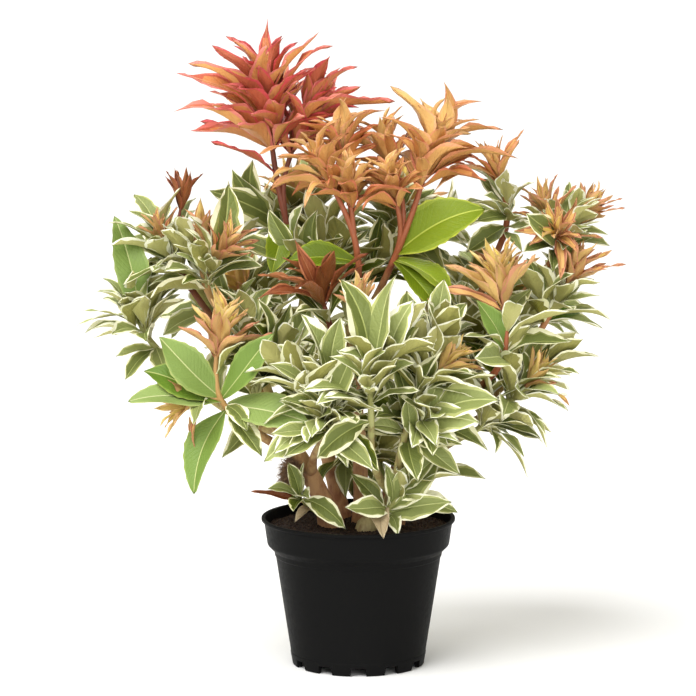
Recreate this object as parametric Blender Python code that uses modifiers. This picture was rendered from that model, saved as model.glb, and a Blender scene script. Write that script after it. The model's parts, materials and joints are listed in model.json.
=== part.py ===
"""Potted Japanese pieris: a variegated shrub with red and bronze new growth.

Trunks stand on the soil of a nursery pot, boughs leave the trunks, and one
seeded rule grows a mass of foliage from the tip of each bough: twigs, old
leaves along them and a rosette of young leaves at their heads. A leaf that
would touch another mass or a limb turns aside, or is left out.

The tables are in millimetres and become metres as each mesh is made.
X runs to the right, Y away from the viewer and Z up from the floor.
"""

import math
import random
from collections import namedtuple

import bmesh
import bpy
from mathutils import Vector
from mathutils.bvhtree import BVHTree

MM = 0.001
GAP = 0.3
SEED = 41

# Pot: radii and heights of the outer side, then its walls and feet

POT_HEIGHT = 146.0
LIP_RADIUS = 95.0
LIP_HEIGHT = 3.0
LIP_ROUND = 1.0
BAND_TOP_RADIUS = 92.4
BAND_FOOT_RADIUS = 88.6
BAND_FOOT = 119.0
SHOULDER_RADIUS = 81.0
SHOULDER = 113.0
BODY_FOOT_RADIUS = 64.5
WALL = 1.5
FLOOR = 6.5
FLOOR_WALL = 1.8
FOOT_RING_WIDTH = 5.0
DISC_RADIUS = 26.0
NOTCHES = 12
NOTCH_FOOT_WIDTH = 17.0
NOTCH_TOP_WIDTH = 13.0
NOTCH_OVERRUN = 4.0
DRAINS = 8
DRAIN_RADIUS = 3.5
DRAIN_CIRCLE = 44.0
DRAIN_SIDES = 8
TURNED_STEPS = 40

# Soil

SOIL_TOP = 137.0
SOIL_FLAT_RADIUS = 62.0
SOIL_DIP = 1.6

# Limbs: rings of sides along a bent path

TRUNK_SIDES = 7
TRUNK_RINGS = 7
BOUGH_SIDES = 5
BOUGH_RINGS = 5
TWIG_SIDES = 3
TWIG_RINGS = 4
KNEE = 0.42
FLARE = 0.26
FLARE_LENGTH = 0.07
FLARE_RING = 0.6
SEAT = 0.45
SIDEWAYS = Vector((0.31, 0.95, 0.07))
SKEWED = Vector((0.37, 0.11, 0.92))

# Leaves: width, bend and crook of each kind, and the solid that stands for a leaf

GOLDEN_ANGLE = 137.5
OLD_ANGLES = (74, 40)
OLD_STRETCH = (0.22, 0.90)
LONGEST_RUN = 0.85
SIZE_FOOT = 1.06
SIZE_DROP = 0.24
SIZE_SPREAD = 0.08
ANGLE_SPREAD = 4.0
TURN_SPREAD = 0.12
BEND_LEAN = 0.3
ROLL = 0.35
SKY_PULL = 0.6
RETRY_SHORTER = 0.05
RETRY_DEPTH = 4.0
LEAF_THICKNESS = 0.026
LEAF_WIDEST = 0.56
LEAF_OUTER = 0.2
LEAF_LIFT = 0.16
LEAF_FULLNESS = 1.25
ROOT_SUNK = 0.6
ROOT_SUNK_ALONG = 2.4
TRIES = 6
TOUCH = 0.36
WELD = 0.002
CROWN_WIDTH = 270.0
CROWN_DEPTH = 212.0
MASS_REACH = 108.0
POT_CLEARANCE = (4.0, 3.0)
CROWN_TOP = 632.5
TWIG_FOOT_RADIUS = 3.0
TWIG_HEAD_RADIUS = 1.9
TWIG_FORK = (0.08, 0.16)
TWIG_FORK_SHRINK = 0.86
TWIG_RISE = 0.6

Kind = namedtuple("Kind", "width bend")
KINDS = {
    "red": Kind(0.19, 30),
    "tan": Kind(0.22, 48),
    "bronze": Kind(0.20, 20),
    "dark": Kind(0.17, 40),
    "slim": Kind(0.12, 24),
    "arched": Kind(0.17, 105),
    "old": Kind(0.30, 34),
    "plain": Kind(0.36, 30),
}

Trunk = namedtuple("Trunk", "name foot heading tip foot_radius tip_radius")
TRUNKS = (
    Trunk("trunk_left", (-27, 6), (-0.28, -0.02, 1), (-92, -18, 256), 10.5, 6.2),
    Trunk("trunk_middle", (3, 27), (0.0, -0.05, 1), (-8, 26, 332), 7.8, 4.8),
    Trunk("trunk_front", (9, -15), (1.0, -0.30, 0.75), (44, -54, 222), 9.6, 5.8),
    Trunk("trunk_right", (36, 16), (0.20, -0.02, 1), (100, 6, 264), 8.4, 5.2),
    Trunk("trunk_back", (-17, 52), (-0.15, 0.25, 1), (-78, 116, 300), 8.4, 4.8),
    Trunk("trunk_rear", (27, 54), (0.20, 0.25, 1), (105, 112, 300), 8.4, 4.8),
)

Bough = namedtuple("Bough", "name trunk at tip foot_radius tip_radius rise")
BOUGHS = (
    Bough("bough_left_low", "trunk_left", 0.74, (-124, -68, 262), 5.2, 3.6, 1.1),
    Bough("bough_left_far", "trunk_left", 0.86, (-196, 0, 312), 4.8, 3.0, 0.5),
    Bough("bough_left_top", "trunk_left", 0.93, (-140, -18, 360), 4.6, 3.2, 1.2),
    Bough("bough_left_edge", "trunk_left", 0.78, (-164, 8, 372), 4.4, 3.0, 1.0),
    Bough("bough_front_left", "trunk_left", 0.56, (-27, -90, 244), 4.4, 3.2, 0.9),
    Bough("bough_red", "trunk_middle", 0.90, (-68, 28, 425), 5.0, 3.6, 1.3),
    Bough("bough_tan_left", "trunk_middle", 0.82, (0, -34, 398), 4.6, 3.2, 1.1),
    Bough("bough_tan_right", "trunk_middle", 0.96, (33, -22, 400), 4.6, 3.2, 1.0),
    Bough("bough_dark", "trunk_middle", 0.62, (-25, -58, 334), 4.4, 3.0, 0.9),
    Bough("bough_front_middle", "trunk_front", 0.66, (12, -110, 258), 4.6, 3.2, 0.7),
    Bough("bough_front_right", "trunk_front", 0.76, (52, -92, 272), 4.4, 3.0, 1.2),
    Bough("bough_right_bronze", "trunk_right", 0.88, (131, -58, 298), 4.6, 3.2, 1.0),
    Bough("bough_right_low", "trunk_right", 0.78, (137, -44, 262), 4.2, 2.8, 1.0),
    Bough("bough_right_reach", "trunk_right", 0.95, (172, -16, 325), 4.2, 3.0, 0.8),
    Bough("bough_right_top", "trunk_right", 0.90, (188, 12, 396), 4.4, 3.2, 1.3),
    Bough("bough_right_slim", "trunk_right", 0.97, (141, 14, 420), 4.2, 3.0, 1.8),
    Bough("bough_right_under", "trunk_front", 0.84, (106, -46, 236), 4.0, 2.8, 0.9),
    Bough("bough_back_top", "trunk_back", 0.90, (-48, 112, 385), 4.4, 3.2, 1.4),
    Bough("bough_back_low", "trunk_back", 0.62, (-52, 158, 262), 4.4, 3.2, 0.8),
    Bough("bough_rear_top", "trunk_rear", 0.90, (42, 112, 382), 4.4, 3.2, 1.2),
    Bough("bough_rear_low", "trunk_rear", 0.62, (78, 160, 258), 4.4, 3.2, 0.8),
)

# A shoot's head, its leaves at the head (kind, number, length, the run of twig they
# sit on, angles of the lowest and highest from the twig) and old leaves below them

Shoot = namedtuple(
    "Shoot", "head kind count length run low high old old_length", defaults=(0, 55)
)
Mass = namedtuple("Mass", "name limb at colour shoots")
MASSES = (
    Mass("leaves_crown_red", "bough_red", 1, "red", (
        Shoot((-88, 20, 557), "red", 15, 88, 52, 76, 18),
        Shoot((-46, 36, 540), "red", 11, 76, 42, 72, 14),
    )),
    Mass("leaves_crown_tan_left", "bough_tan_left", 1, "tan", (
        Shoot((-36, -36, 492), "tan", 8, 64, 24, 74, 20),
        Shoot((-8, -44, 474), "tan", 8, 58, 22, 72, 16),
        Shoot((-16, -8, 516), "tan", 8, 60, 24, 66, 16),
    )),
    Mass("leaves_crown_tan_right", "bough_tan_right", 1, "tan", (
        Shoot((72, -18, 512), "tan", 12, 70, 38, 66, 10),
        Shoot((31, -42, 476), "tan", 8, 56, 22, 74, 16),
        Shoot((28, -2, 508), "tan", 8, 60, 24, 68, 18),
    )),
    Mass("leaves_right_slim", "bough_right_slim", 1, "dark", (
        Shoot((136, 10, 480), "slim", 6, 54, 12, 44, 10, 5, 60),
    )),
    Mass("leaves_right_top", "bough_right_top", 1, "bronze", (
        Shoot((183, 10, 446), "bronze", 8, 46, 14, 62, 12, 5, 56),
        Shoot((223, 12, 444), "bronze", 8, 44, 14, 58, 12, 5, 52),
        Shoot((190, -26, 428), "bronze", 6, 50, 12, 66, 22, 4, 54),
    )),
    Mass("leaves_right_bronze", "bough_right_bronze", 1, "bronze", (
        Shoot((135, -60, 380), "bronze", 12, 64, 18, 66, 10, 9, 70),
    )),
    Mass("leaves_right_reach", "bough_right_reach", 1, "bronze", (
        Shoot((209, -20, 388), "bronze", 8, 52, 16, 50, 10, 7, 62),
    )),
    Mass("leaves_right_low", "bough_right_low", 1, "green", (
        Shoot((168, -50, 290), "bronze", 6, 46, 12, 58, 12, 6, 66),
        Shoot((172, -22, 296), "old", 7, 66, 28, 66, 24),
    )),
    Mass("leaves_right_middle", "trunk_right", 1, "green", (
        Shoot((112, 18, 338), "old", 8, 70, 50, 70, 26),
        Shoot((150, 14, 330), "old", 8, 70, 44, 68, 26),
    )),
    Mass("leaves_right_under", "bough_right_under", 1, "green", (
        Shoot((134, -50, 250), "old", 8, 66, 22, 84, 36),
    )),
    Mass("leaves_front_right", "bough_front_right", 1, "green", (
        Shoot((86, -92, 312), "bronze", 8, 42, 12, 56, 10, 6, 62),
        Shoot((74, -64, 340), "bronze", 4, 38, 8, 40, 12, 5, 62),
    )),
    Mass("leaves_front_middle", "bough_front_middle", 1, "green", (
        Shoot((3, -97, 368), "bronze", 7, 48, 14, 46, 10, 7, 70),
        Shoot((36, -112, 332), "old", 8, 68, 44, 62, 20),
        Shoot((8, -132, 304), "old", 7, 64, 38, 66, 26),
    )),
    Mass("leaves_front_low", "trunk_front", 1, "green", (
        Shoot((66, -98, 262), "old", 9, 70, 34, 76, 30),
        Shoot((50, -88, 244), "old", 6, 62, 22, 84, 40),
    )),
    Mass("leaves_inner_dark", "bough_dark", 1, "dark", (
        Shoot((-36, -62, 374), "dark", 6, 70, 12, 70, 22, 4, 64),
    )),
    Mass("leaves_front_left", "bough_front_left", 1, "green", (
        Shoot((-32, -110, 262), "old", 8, 64, 22, 96, 44),
        Shoot((-24, -98, 300), "old", 7, 66, 34, 72, 26),
        Shoot((-68, -98, 300), "old", 8, 68, 40, 74, 26),
    )),
    Mass("leaves_left_bronze", "bough_left_low", 1, "bronze", (
        Shoot((-132, -72, 340), "bronze", 12, 56, 22, 74, 8, 3, 60),
        Shoot((-163, -80, 268), "bronze", 6, 48, 10, 70, 14, 2, 54),
    )),
    Mass("leaves_left_middle", "trunk_left", 1, "green", (
        Shoot((-104, -30, 334), "old", 8, 70, 56, 72, 24),
        Shoot((-74, -50, 320), "old", 7, 68, 44, 70, 26),
    )),
    Mass("leaves_left_top", "bough_left_top", 1, "bronze", (
        Shoot((-150, -12, 424), "bronze", 7, 48, 16, 50, 8, 5, 62),
        Shoot((-131, -28, 412), "bronze", 8, 52, 16, 62, 14, 6, 62),
    )),
    Mass("leaves_left_edge", "bough_left_edge", 1, "green", (
        Shoot((-192, -2, 424), "bronze", 5, 36, 10, 44, 12, 6, 64),
        Shoot((-172, 16, 454), "slim", 5, 46, 10, 40, 10, 6, 62),
    )),
    Mass("leaves_left_far", "bough_left_far", 1, "green", (
        Shoot((-218, 0, 350), "old", 8, 62, 34, 80, 22),
    )),
    Mass("leaves_core", "trunk_middle", 1, "green", (
        Shoot((-62, 4, 402), "old", 7, 72, 50, 72, 26),
        Shoot((-30, 52, 420), "old", 7, 72, 54, 68, 26),
        Shoot((34, 30, 398), "old", 6, 68, 44, 70, 28),
    )),
    Mass("leaves_foot_front", "trunk_front", 0.36, "green", (
        Shoot((46, -62, 186), "old", 4, 46, 10, 66, 24),
    )),
    Mass("leaves_foot_left", "trunk_left", 0.20, "green", (
        Shoot((-58, -34, 172), "old", 3, 44, 8, 62, 30),
    )),
    Mass("leaves_back_left", "trunk_back", 1, "green", (
        Shoot((-118, 112, 356), "bronze", 7, 54, 16, 56, 12, 6, 72),
        Shoot((-92, 158, 338), "old", 8, 74, 50, 74, 22),
        Shoot((-148, 74, 338), "old", 8, 74, 50, 74, 24),
    )),
    Mass("leaves_back_top", "bough_back_top", 1, "bronze", (
        Shoot((-62, 112, 446), "bronze", 9, 62, 20, 62, 12, 6, 72),
        Shoot((-100, 88, 424), "old", 8, 70, 46, 72, 24),
    )),
    Mass("leaves_back_low", "bough_back_low", 1, "green", (
        Shoot((-92, 162, 280), "old", 8, 72, 40, 84, 28),
        Shoot((-24, 178, 284), "old", 8, 72, 40, 84, 28),
    )),
    Mass("leaves_back_right", "trunk_rear", 1, "green", (
        Shoot((144, 104, 366), "bronze", 7, 54, 16, 56, 12, 6, 72),
        Shoot((116, 158, 336), "old", 8, 74, 50, 74, 22),
        Shoot((172, 74, 334), "old", 8, 72, 50, 74, 24),
    )),
    Mass("leaves_rear_top", "bough_rear_top", 1, "bronze", (
        Shoot((40, 116, 440), "bronze", 9, 62, 20, 62, 12, 6, 72),
        Shoot((84, 92, 420), "old", 8, 70, 46, 72, 24),
    )),
    Mass("leaves_rear_low", "bough_rear_low", 1, "green", (
        Shoot((112, 160, 278), "old", 8, 72, 40, 84, 28),
        Shoot((44, 178, 280), "old", 8, 72, 40, 84, 28),
    )),
    Mass("leaves_foot_back", "trunk_back", 0.30, "green", (
        Shoot((-14, 72, 204), "old", 8, 58, 26, 84, 34),
        Shoot((28, 70, 196), "old", 7, 56, 24, 84, 34),
    )),
)

# Leaves that make the crown's outline: the mass and shoot they sit on, how far up
# the twig, their kind, where the tip reaches and how far they turn to the front

Aimed = namedtuple("Aimed", "mass shoot at kind tip face", defaults=(0,))
AIMED = (
    Aimed("leaves_crown_red", 0, 0.99, "red", (-88, 30, 632)),
    Aimed("leaves_crown_red", 0, 0.96, "red", (-38, 28, 619)),
    Aimed("leaves_crown_red", 0, 0.92, "red", (-24, 5, 607)),
    Aimed("leaves_crown_red", 0, 0.97, "red", (-129, 25, 615)),
    Aimed("leaves_crown_red", 0, 0.93, "red", (-141, -12, 609)),
    Aimed("leaves_crown_red", 0, 0.88, "red", (-164, -6, 591)),
    Aimed("leaves_crown_red", 0, 0.80, "red", (-177, 15, 580)),
    Aimed("leaves_crown_red", 0, 0.66, "red", (-178, -25, 546)),
    Aimed("leaves_crown_red", 0, 0.46, "slim", (-143, 0, 515)),
    Aimed("leaves_crown_red", 1, 0.96, "red", (0, 40, 584)),
    Aimed("leaves_crown_red", 1, 0.90, "red", (36, 20, 552)),
    Aimed("leaves_crown_tan_left", 0, 0.96, "arched", (-96, -60, 508)),
    Aimed("leaves_crown_tan_left", 0, 0.90, "arched", (-92, -66, 473)),
    Aimed("leaves_crown_tan_left", 0, 0.84, "arched", (-52, -84, 459)),
    Aimed("leaves_crown_tan_right", 0, 0.90, "tan", (30, -24, 571)),
    Aimed("leaves_crown_tan_right", 0, 0.99, "tan", (82, -10, 574)),
    Aimed("leaves_crown_tan_right", 0, 0.96, "tan", (120, 0, 554)),
    Aimed("leaves_crown_tan_right", 0, 0.84, "tan", (141, 12, 525)),
    Aimed("leaves_crown_tan_right", 0, 0.76, "tan", (154, -26, 501)),
    Aimed("leaves_right_slim", 0, 0.98, "slim", (161, 20, 525)),
    Aimed("leaves_right_slim", 0, 0.94, "arched", (71, -22, 466)),
    Aimed("leaves_right_top", 1, 0.98, "bronze", (257, 14, 458)),
    Aimed("leaves_right_top", 2, 0.80, "slim", (237, -18, 423)),
    Aimed("leaves_right_bronze", 0, 0.92, "bronze", (81, -76, 405)),
    Aimed("leaves_right_bronze", 0, 0.34, "plain", (112, -84, 372), 1.6),
    Aimed("leaves_right_reach", 0, 0.96, "bronze", (259, -20, 398)),
    Aimed("leaves_right_reach", 0, 0.30, "plain", (219, 6, 350), 1.0),
    Aimed("leaves_right_low", 0, 0.94, "bronze", (203, -66, 266)),
    Aimed("leaves_right_low", 1, 0.80, "old", (234, -22, 308)),
    Aimed("leaves_right_low", 1, 0.90, "old", (217, -36, 327)),
    Aimed("leaves_right_under", 0, 0.96, "old", (187, -40, 236)),
    Aimed("leaves_right_under", 0, 0.70, "old", (131, -76, 222)),
    Aimed("leaves_left_bronze", 0, 0.30, "plain", (-190, -92, 338), 1.6),
    Aimed("leaves_left_bronze", 0, 0.16, "plain", (-220, -96, 276), 1.0),
    Aimed("leaves_left_bronze", 0, 0.24, "plain", (-80, -96, 342), 1.6),
    Aimed("leaves_left_bronze", 0, 0.10, "plain", (-47, -116, 259), 1.4),
    Aimed("leaves_left_bronze", 0, 0.06, "plain", (-157, -106, 188), 1.2),
    Aimed("leaves_left_far", 0, 0.90, "old", (-278, -6, 334)),
    Aimed("leaves_left_far", 0, 0.70, "plain", (-238, 22, 440), 0.5),
    Aimed("leaves_left_edge", 0, 0.70, "old", (-223, 6, 447)),
    Aimed("leaves_left_edge", 0, 0.55, "old", (-241, -10, 415)),
    Aimed("leaves_crown_tan_right", 0, 0.08, "plain", (122, -32, 453), 1.2),
    Aimed("leaves_crown_tan_right", 0, 0.03, "plain", (92, -44, 366), 1.2),
    Aimed("leaves_front_middle", 0, 0.52, "old", (-17, -112, 396), 1.0),
    Aimed("leaves_front_middle", 0, 0.46, "old", (36, -116, 401), 1.0),
    Aimed("leaves_front_low", 0, 0.90, "old", (134, -126, 282), 0.6),
    Aimed("leaves_front_low", 0, 0.70, "old", (115, -128, 261), 0.8),
    Aimed("leaves_front_low", 0, 0.55, "old", (96, -124, 242), 0.8),
    Aimed("leaves_inner_dark", 0, 0.98, "dark", (-61, -78, 430), 1.0),
    Aimed("leaves_inner_dark", 0, 0.94, "dark", (-76, -86, 396), 0.6),
    Aimed("leaves_inner_dark", 0, 0.90, "dark", (-98, -88, 372), 0.6),
    Aimed("leaves_foot_front", 0, 0.90, "old", (123, -70, 196)),
    Aimed("leaves_foot_front", 0, 0.60, "old", (96, -64, 162), 0.4),
    Aimed("leaves_foot_front", 0, 0.50, "old", (-13, -98, 174), 1.4),
    Aimed("leaves_foot_front", 0, 0.40, "old", (38, -80, 143), 1.0),
    Aimed("leaves_foot_left", 0, 0.70, "slim", (-105, -36, 178)),
    Aimed("leaves_foot_left", 0, 0.90, "old", (-12, -60, 145), 1.2),
    Aimed("leaves_left_middle", 0, 0.03, "old", (-132, -50, 213), 0.8),
    Aimed("leaves_front_left", 0, 0.10, "old", (-90, -125, 223), 1.0),
    Aimed("leaves_front_left", 0, 0.50, "old", (-70, -130, 229), 1.0),
    Aimed("leaves_front_left", 0, 0.30, "old", (-10, -125, 217), 1.0),
    Aimed("leaves_front_middle", 0, 0.02, "old", (-40, -120, 225), 1.0),
    Aimed("leaves_front_left", 2, 0.60, "old", (-85, -125, 317), 1.0),
    Aimed("leaves_front_left", 1, 0.35, "old", (-58, -125, 292), 0.8),
    Aimed("leaves_front_left", 1, 0.60, "old", (-6, -125, 333), 1.0),
    Aimed("leaves_front_left", 1, 0.90, "old", (-55, -112, 363), 1.0),
    Aimed("leaves_front_left", 1, 0.95, "old", (-17, -112, 360), 0.8),
    Aimed("leaves_front_middle", 1, 0.75, "old", (52, -125, 378), 0.8),
    Aimed("leaves_front_right", 1, 0.50, "old", (65, -118, 377), 0.8),
    Aimed("leaves_front_right", 0, 0.20, "old", (79, -118, 329), 0.8),
    Aimed("leaves_front_low", 0, 0.25, "old", (99, -105, 236), 0.6),
    Aimed("leaves_foot_front", 0, 0.98, "old", (78, -70, 220), 0.5),
    Aimed("leaves_foot_front", 0, 0.80, "old", (84, -72, 191), 0.3),
    Aimed("leaves_foot_front", 0, 0.95, "old", (25, -75, 218), 0.8),
)

# The dry knot of twigs held against the left trunk

KNOT_TRUNK = "trunk_left"
KNOT_AT = 0.53
KNOT_SIDE = (-1, -0.55, 0)
KNOT_SIZE = (11, 9, 16)
KNOT_OUT = 0.9
KNOT_ROUGHNESS = 0.24

Finish = namedtuple("Finish", "colour roughness")
FINISHES = {
    "pot": Finish((0.020, 0.020, 0.021), 0.42),
    "soil": Finish((0.060, 0.040, 0.028), 0.95),
    "bark": Finish((0.36, 0.235, 0.115), 0.85),
    "knot": Finish((0.22, 0.15, 0.10), 0.95),
    "red": Finish((0.62, 0.155, 0.085), 0.50),
    "tan": Finish((0.72, 0.33, 0.135), 0.50),
    "bronze": Finish((0.72, 0.36, 0.15), 0.50),
    "dark": Finish((0.30, 0.085, 0.045), 0.50),
    "green": Finish((0.33, 0.42, 0.17), 0.50),
}


# Scene and materials


def clear_scene():
    for item in list(bpy.data.objects):
        bpy.data.objects.remove(item, do_unlink=True)


def new_collection(name):
    made = bpy.data.collections.new(name)
    bpy.context.scene.collection.children.link(made)
    return made


def material_for(name, finish):
    """The part's own Principled material."""
    material = bpy.data.materials.new(name + "_material")
    material.use_nodes = True
    shader = material.node_tree.nodes["Principled BSDF"]
    colour, roughness = FINISHES[finish]
    shader.inputs["Base Color"].default_value = (*colour, 1)
    shader.inputs["Roughness"].default_value = roughness
    shader.inputs["Metallic"].default_value = 0
    material.diffuse_color = (*colour, 1)
    return material


def new_object(name, points, faces, collection):
    """A mesh object in metres from points in millimetres."""
    mesh = bpy.data.meshes.new(name)
    mesh.from_pydata([Vector(point) * MM for point in points], [], faces)
    made = bpy.data.objects.new(name, mesh)
    collection.objects.link(made)
    return made


def hide_helper(item):
    item.hide_render = True
    item.display_type = "WIRE"


def apply_modifiers(item):
    """Put the evaluated shape in place of the object's mesh and its modifiers."""
    old = item.data
    graph = bpy.context.evaluated_depsgraph_get()
    item.data = bpy.data.meshes.new_from_object(item.evaluated_get(graph))
    item.data.name = item.name
    item.modifiers.clear()
    bpy.data.meshes.remove(old)


# Pot and soil, turned about the Z axis


def turned(name, profile, collection):
    """A body turned from (radius, height) points that run from axis to axis."""
    mesh = bpy.data.meshes.new(name)
    points = [(radius * MM, 0, height * MM) for radius, height in profile]
    mesh.from_pydata(points, [(i, i + 1) for i in range(len(points) - 1)], [])
    made = bpy.data.objects.new(name, mesh)
    collection.objects.link(made)
    screw = made.modifiers.new("Turn", "SCREW")
    screw.axis = "Z"
    screw.steps = screw.render_steps = TURNED_STEPS
    screw.use_merge_vertices = True
    screw.merge_threshold = 0.00005
    return made


def inner_wall():
    """Inner side of the pot from the floor up, as (radius, height) points."""
    return [
        (BODY_FOOT_RADIUS - WALL, FLOOR + FLOOR_WALL),
        (SHOULDER_RADIUS - WALL, SHOULDER + WALL),
        (BAND_FOOT_RADIUS - WALL, BAND_FOOT + WALL),
        (BAND_TOP_RADIUS - WALL, POT_HEIGHT - LIP_ROUND),
    ]


def pot_profile():
    ring_inside = BODY_FOOT_RADIUS - FOOT_RING_WIDTH
    outer = [
        (BAND_TOP_RADIUS - WALL + LIP_ROUND, POT_HEIGHT),
        (LIP_RADIUS - LIP_ROUND, POT_HEIGHT),
        (LIP_RADIUS, POT_HEIGHT - LIP_ROUND),
        (LIP_RADIUS, POT_HEIGHT - LIP_HEIGHT),
        (BAND_TOP_RADIUS, POT_HEIGHT - LIP_HEIGHT - LIP_ROUND),
        (BAND_FOOT_RADIUS, BAND_FOOT),
        (SHOULDER_RADIUS + LIP_ROUND, SHOULDER + LIP_ROUND),
        (SHOULDER_RADIUS, SHOULDER),
        (BODY_FOOT_RADIUS, LIP_ROUND),
        (BODY_FOOT_RADIUS - LIP_ROUND, 0),
    ]
    under = [
        (ring_inside, 0),
        (ring_inside, FLOOR),
        (DISC_RADIUS, FLOOR),
        (DISC_RADIUS, 0),
        (0, 0),
    ]
    return [(0, FLOOR + FLOOR_WALL)] + inner_wall() + outer + under


def notch_points(angle):
    """A wedge that opens a gap between two feet, narrower at its top."""
    inner = BODY_FOOT_RADIUS - FOOT_RING_WIDTH - NOTCH_OVERRUN
    outer = BODY_FOOT_RADIUS + NOTCH_OVERRUN
    top = FLOOR - GAP
    out = Vector((math.cos(angle), math.sin(angle), 0))
    side = Vector((-math.sin(angle), math.cos(angle), 0))
    points = []
    for radius in (inner, outer):
        for height, width in ((-NOTCH_OVERRUN, NOTCH_FOOT_WIDTH), (top, NOTCH_TOP_WIDTH)):
            for sign in (-1, 1):
                points.append(out * radius + side * sign * width / 2 + Vector((0, 0, height)))
    faces = [(0, 2, 3, 1), (4, 5, 7, 6), (0, 1, 5, 4), (2, 6, 7, 3), (0, 4, 6, 2), (1, 3, 7, 5)]
    return points, faces


def build_pot(parts, helpers):
    """Nursery pot: a lip, a wide band, a tapering body, notched feet and drain holes."""
    pot = turned("pot", pot_profile(), parts)
    cutters = bpy.data.collections.new("pot_cutters")
    helpers.children.link(cutters)
    for number in range(NOTCHES):
        angle = -math.pi / 2 + number * math.tau / NOTCHES
        hide_helper(new_object(f"notch_{number}", *notch_points(angle), cutters))
    for number in range(DRAINS):
        angle = (number + 0.5) * math.tau / DRAINS
        place = Vector((math.cos(angle), math.sin(angle), 0)) * DRAIN_CIRCLE
        ends = (FLOOR - NOTCH_OVERRUN, FLOOR + FLOOR_WALL + NOTCH_OVERRUN)
        path = [place + Vector((0, 0, height)) for height in ends]
        drain = tube(path, [DRAIN_RADIUS] * 2, DRAIN_SIDES)
        hide_helper(new_object(f"drain_{number}", *drain, cutters))
    cut = pot.modifiers.new("Feet and drains", "BOOLEAN")
    cut.operation = "DIFFERENCE"
    cut.operand_type = "COLLECTION"
    cut.collection = cutters
    cut.solver = "EXACT"
    pot.data.materials.append(material_for("pot", "pot"))


def build_soil(parts):
    """Peat that fills the pot to just under its lip, clear of the wall all round."""
    walls = [(radius - GAP, height + GAP) for radius, height in inner_wall()[:3]]
    low, high = inner_wall()[2:]
    share = (SOIL_TOP - SOIL_DIP - low[1]) / (high[1] - low[1])
    edge = low[0] + (high[0] - low[0]) * share - GAP
    profile = [(0, SOIL_TOP), (SOIL_FLAT_RADIUS, SOIL_TOP), (edge, SOIL_TOP - SOIL_DIP)]
    profile += list(reversed(walls)) + [(0, walls[0][1])]
    soil = turned("soil", profile, parts)
    soil.data.materials.append(material_for("soil", "soil"))


# Limbs


def bent_path(foot, heading, tip, rings):
    """Points of a limb that sets out along the heading and bends over to its tip."""
    knee = foot + heading.normalized() * (tip - foot).length * KNEE
    path = []
    for ring in range(rings):
        t = ring / (rings - 1)
        path.append(foot * (1 - t) ** 2 + knee * 2 * t * (1 - t) + tip * t * t)
    return path


def directions(path):
    """Direction of travel at each point of a path."""
    last = len(path) - 1
    return [(path[min(i + 1, last)] - path[max(i - 1, 0)]).normalized() for i in range(last + 1)]


def tube(path, radii, sides, cut=None):
    """A limb with flat ends. The foot is cut square, or parallel to a given plane."""
    travel = directions(path)
    across = travel[0].cross(SIDEWAYS).normalized()
    points = []
    for ring, (centre, along, radius) in enumerate(zip(path, travel, radii)):
        across = (across - along * across.dot(along)).normalized()
        other = along.cross(across)
        for side in range(sides):
            angle = math.tau * side / sides
            point = centre + (across * math.cos(angle) + other * math.sin(angle)) * radius
            if ring == 0 and cut is not None:
                point = point - along * (point - centre).dot(cut) / along.dot(cut)
            points.append(point)
    faces = []
    for ring in range(len(path) - 1):
        for side in range(sides):
            a, b = ring * sides + side, ring * sides + (side + 1) % sides
            faces.append((a, b, b + sides, a + sides))
    faces.append(tuple(reversed(range(sides))))
    faces.append(tuple(range(len(points) - sides, len(points))))
    return points, faces


class Limb:
    """A trunk, bough or twig: its path, its radii and its surface."""

    def __init__(self, path, radii, sides, cut=None):
        self.path = path
        self.radii = radii
        self.surface = tube(path, radii, sides, cut)

    def stretch(self, share):
        """The ring below a share of the way along, and how far past it that is."""
        steps = share * (len(self.path) - 1)
        low = min(int(steps), len(self.path) - 2)
        return low, steps - low

    def place(self, share):
        """Point, direction and radius at a share of the way along."""
        low, t = self.stretch(share)
        point = self.path[low].lerp(self.path[low + 1], t)
        along = (self.path[low + 1] - self.path[low]).normalized()
        return point, along, self.radii[low] * (1 - t) + self.radii[low + 1] * t

    def tip(self):
        """Where the next limb starts, clear of this one's flat end."""
        along = (self.path[-1] - self.path[-2]).normalized()
        return self.path[-1] + along * GAP, along

    def side(self, share, towards):
        """Where a limb leaves the side, clear of the bark, and the way out of it."""
        point, along, _ = self.place(share)
        out = towards - point
        out = (out - along * out.dot(along)).normalized()
        low, t = self.stretch(share)
        sides = len(self.surface[0]) // len(self.path)
        corners = self.surface[0][low * sides:(low + 2) * sides]
        ring = [a.lerp(b, t) for a, b in zip(corners[:sides], corners[sides:])]
        bark = max((corner - point).dot(out) for corner in ring)
        return point + out * (bark + SEAT), out, along


def grow_trunk(trunk):
    foot = Vector((*trunk.foot, SOIL_TOP + GAP))
    path = bent_path(foot, Vector(trunk.heading), Vector(trunk.tip), TRUNK_RINGS)
    path.insert(1, foot.lerp(path[1], FLARE_RING))
    radii = []
    for point in path:
        share = (point - foot).length / (path[-1] - foot).length
        flare = 1 + FLARE * math.exp(-share / FLARE_LENGTH)
        radii.append((trunk.foot_radius * (1 - share) + trunk.tip_radius * share) * flare)
    return Limb(path, radii, TRUNK_SIDES, Vector((0, 0, 1)))


def grow_bough(bough, trunk):
    tip = Vector(bough.tip)
    foot, out, along = trunk.side(bough.at, tip)
    heading = out + along * bough.rise
    path = bent_path(foot, heading, tip, BOUGH_RINGS)
    radii = []
    for ring in range(BOUGH_RINGS):
        share = ring / (BOUGH_RINGS - 1)
        radii.append(bough.foot_radius * (1 - share) + bough.tip_radius * share)
    return Limb(path, radii, BOUGH_SIDES, out)


# Leaves


Leaf = namedtuple("Leaf", "kind root tip up width bend")


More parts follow.
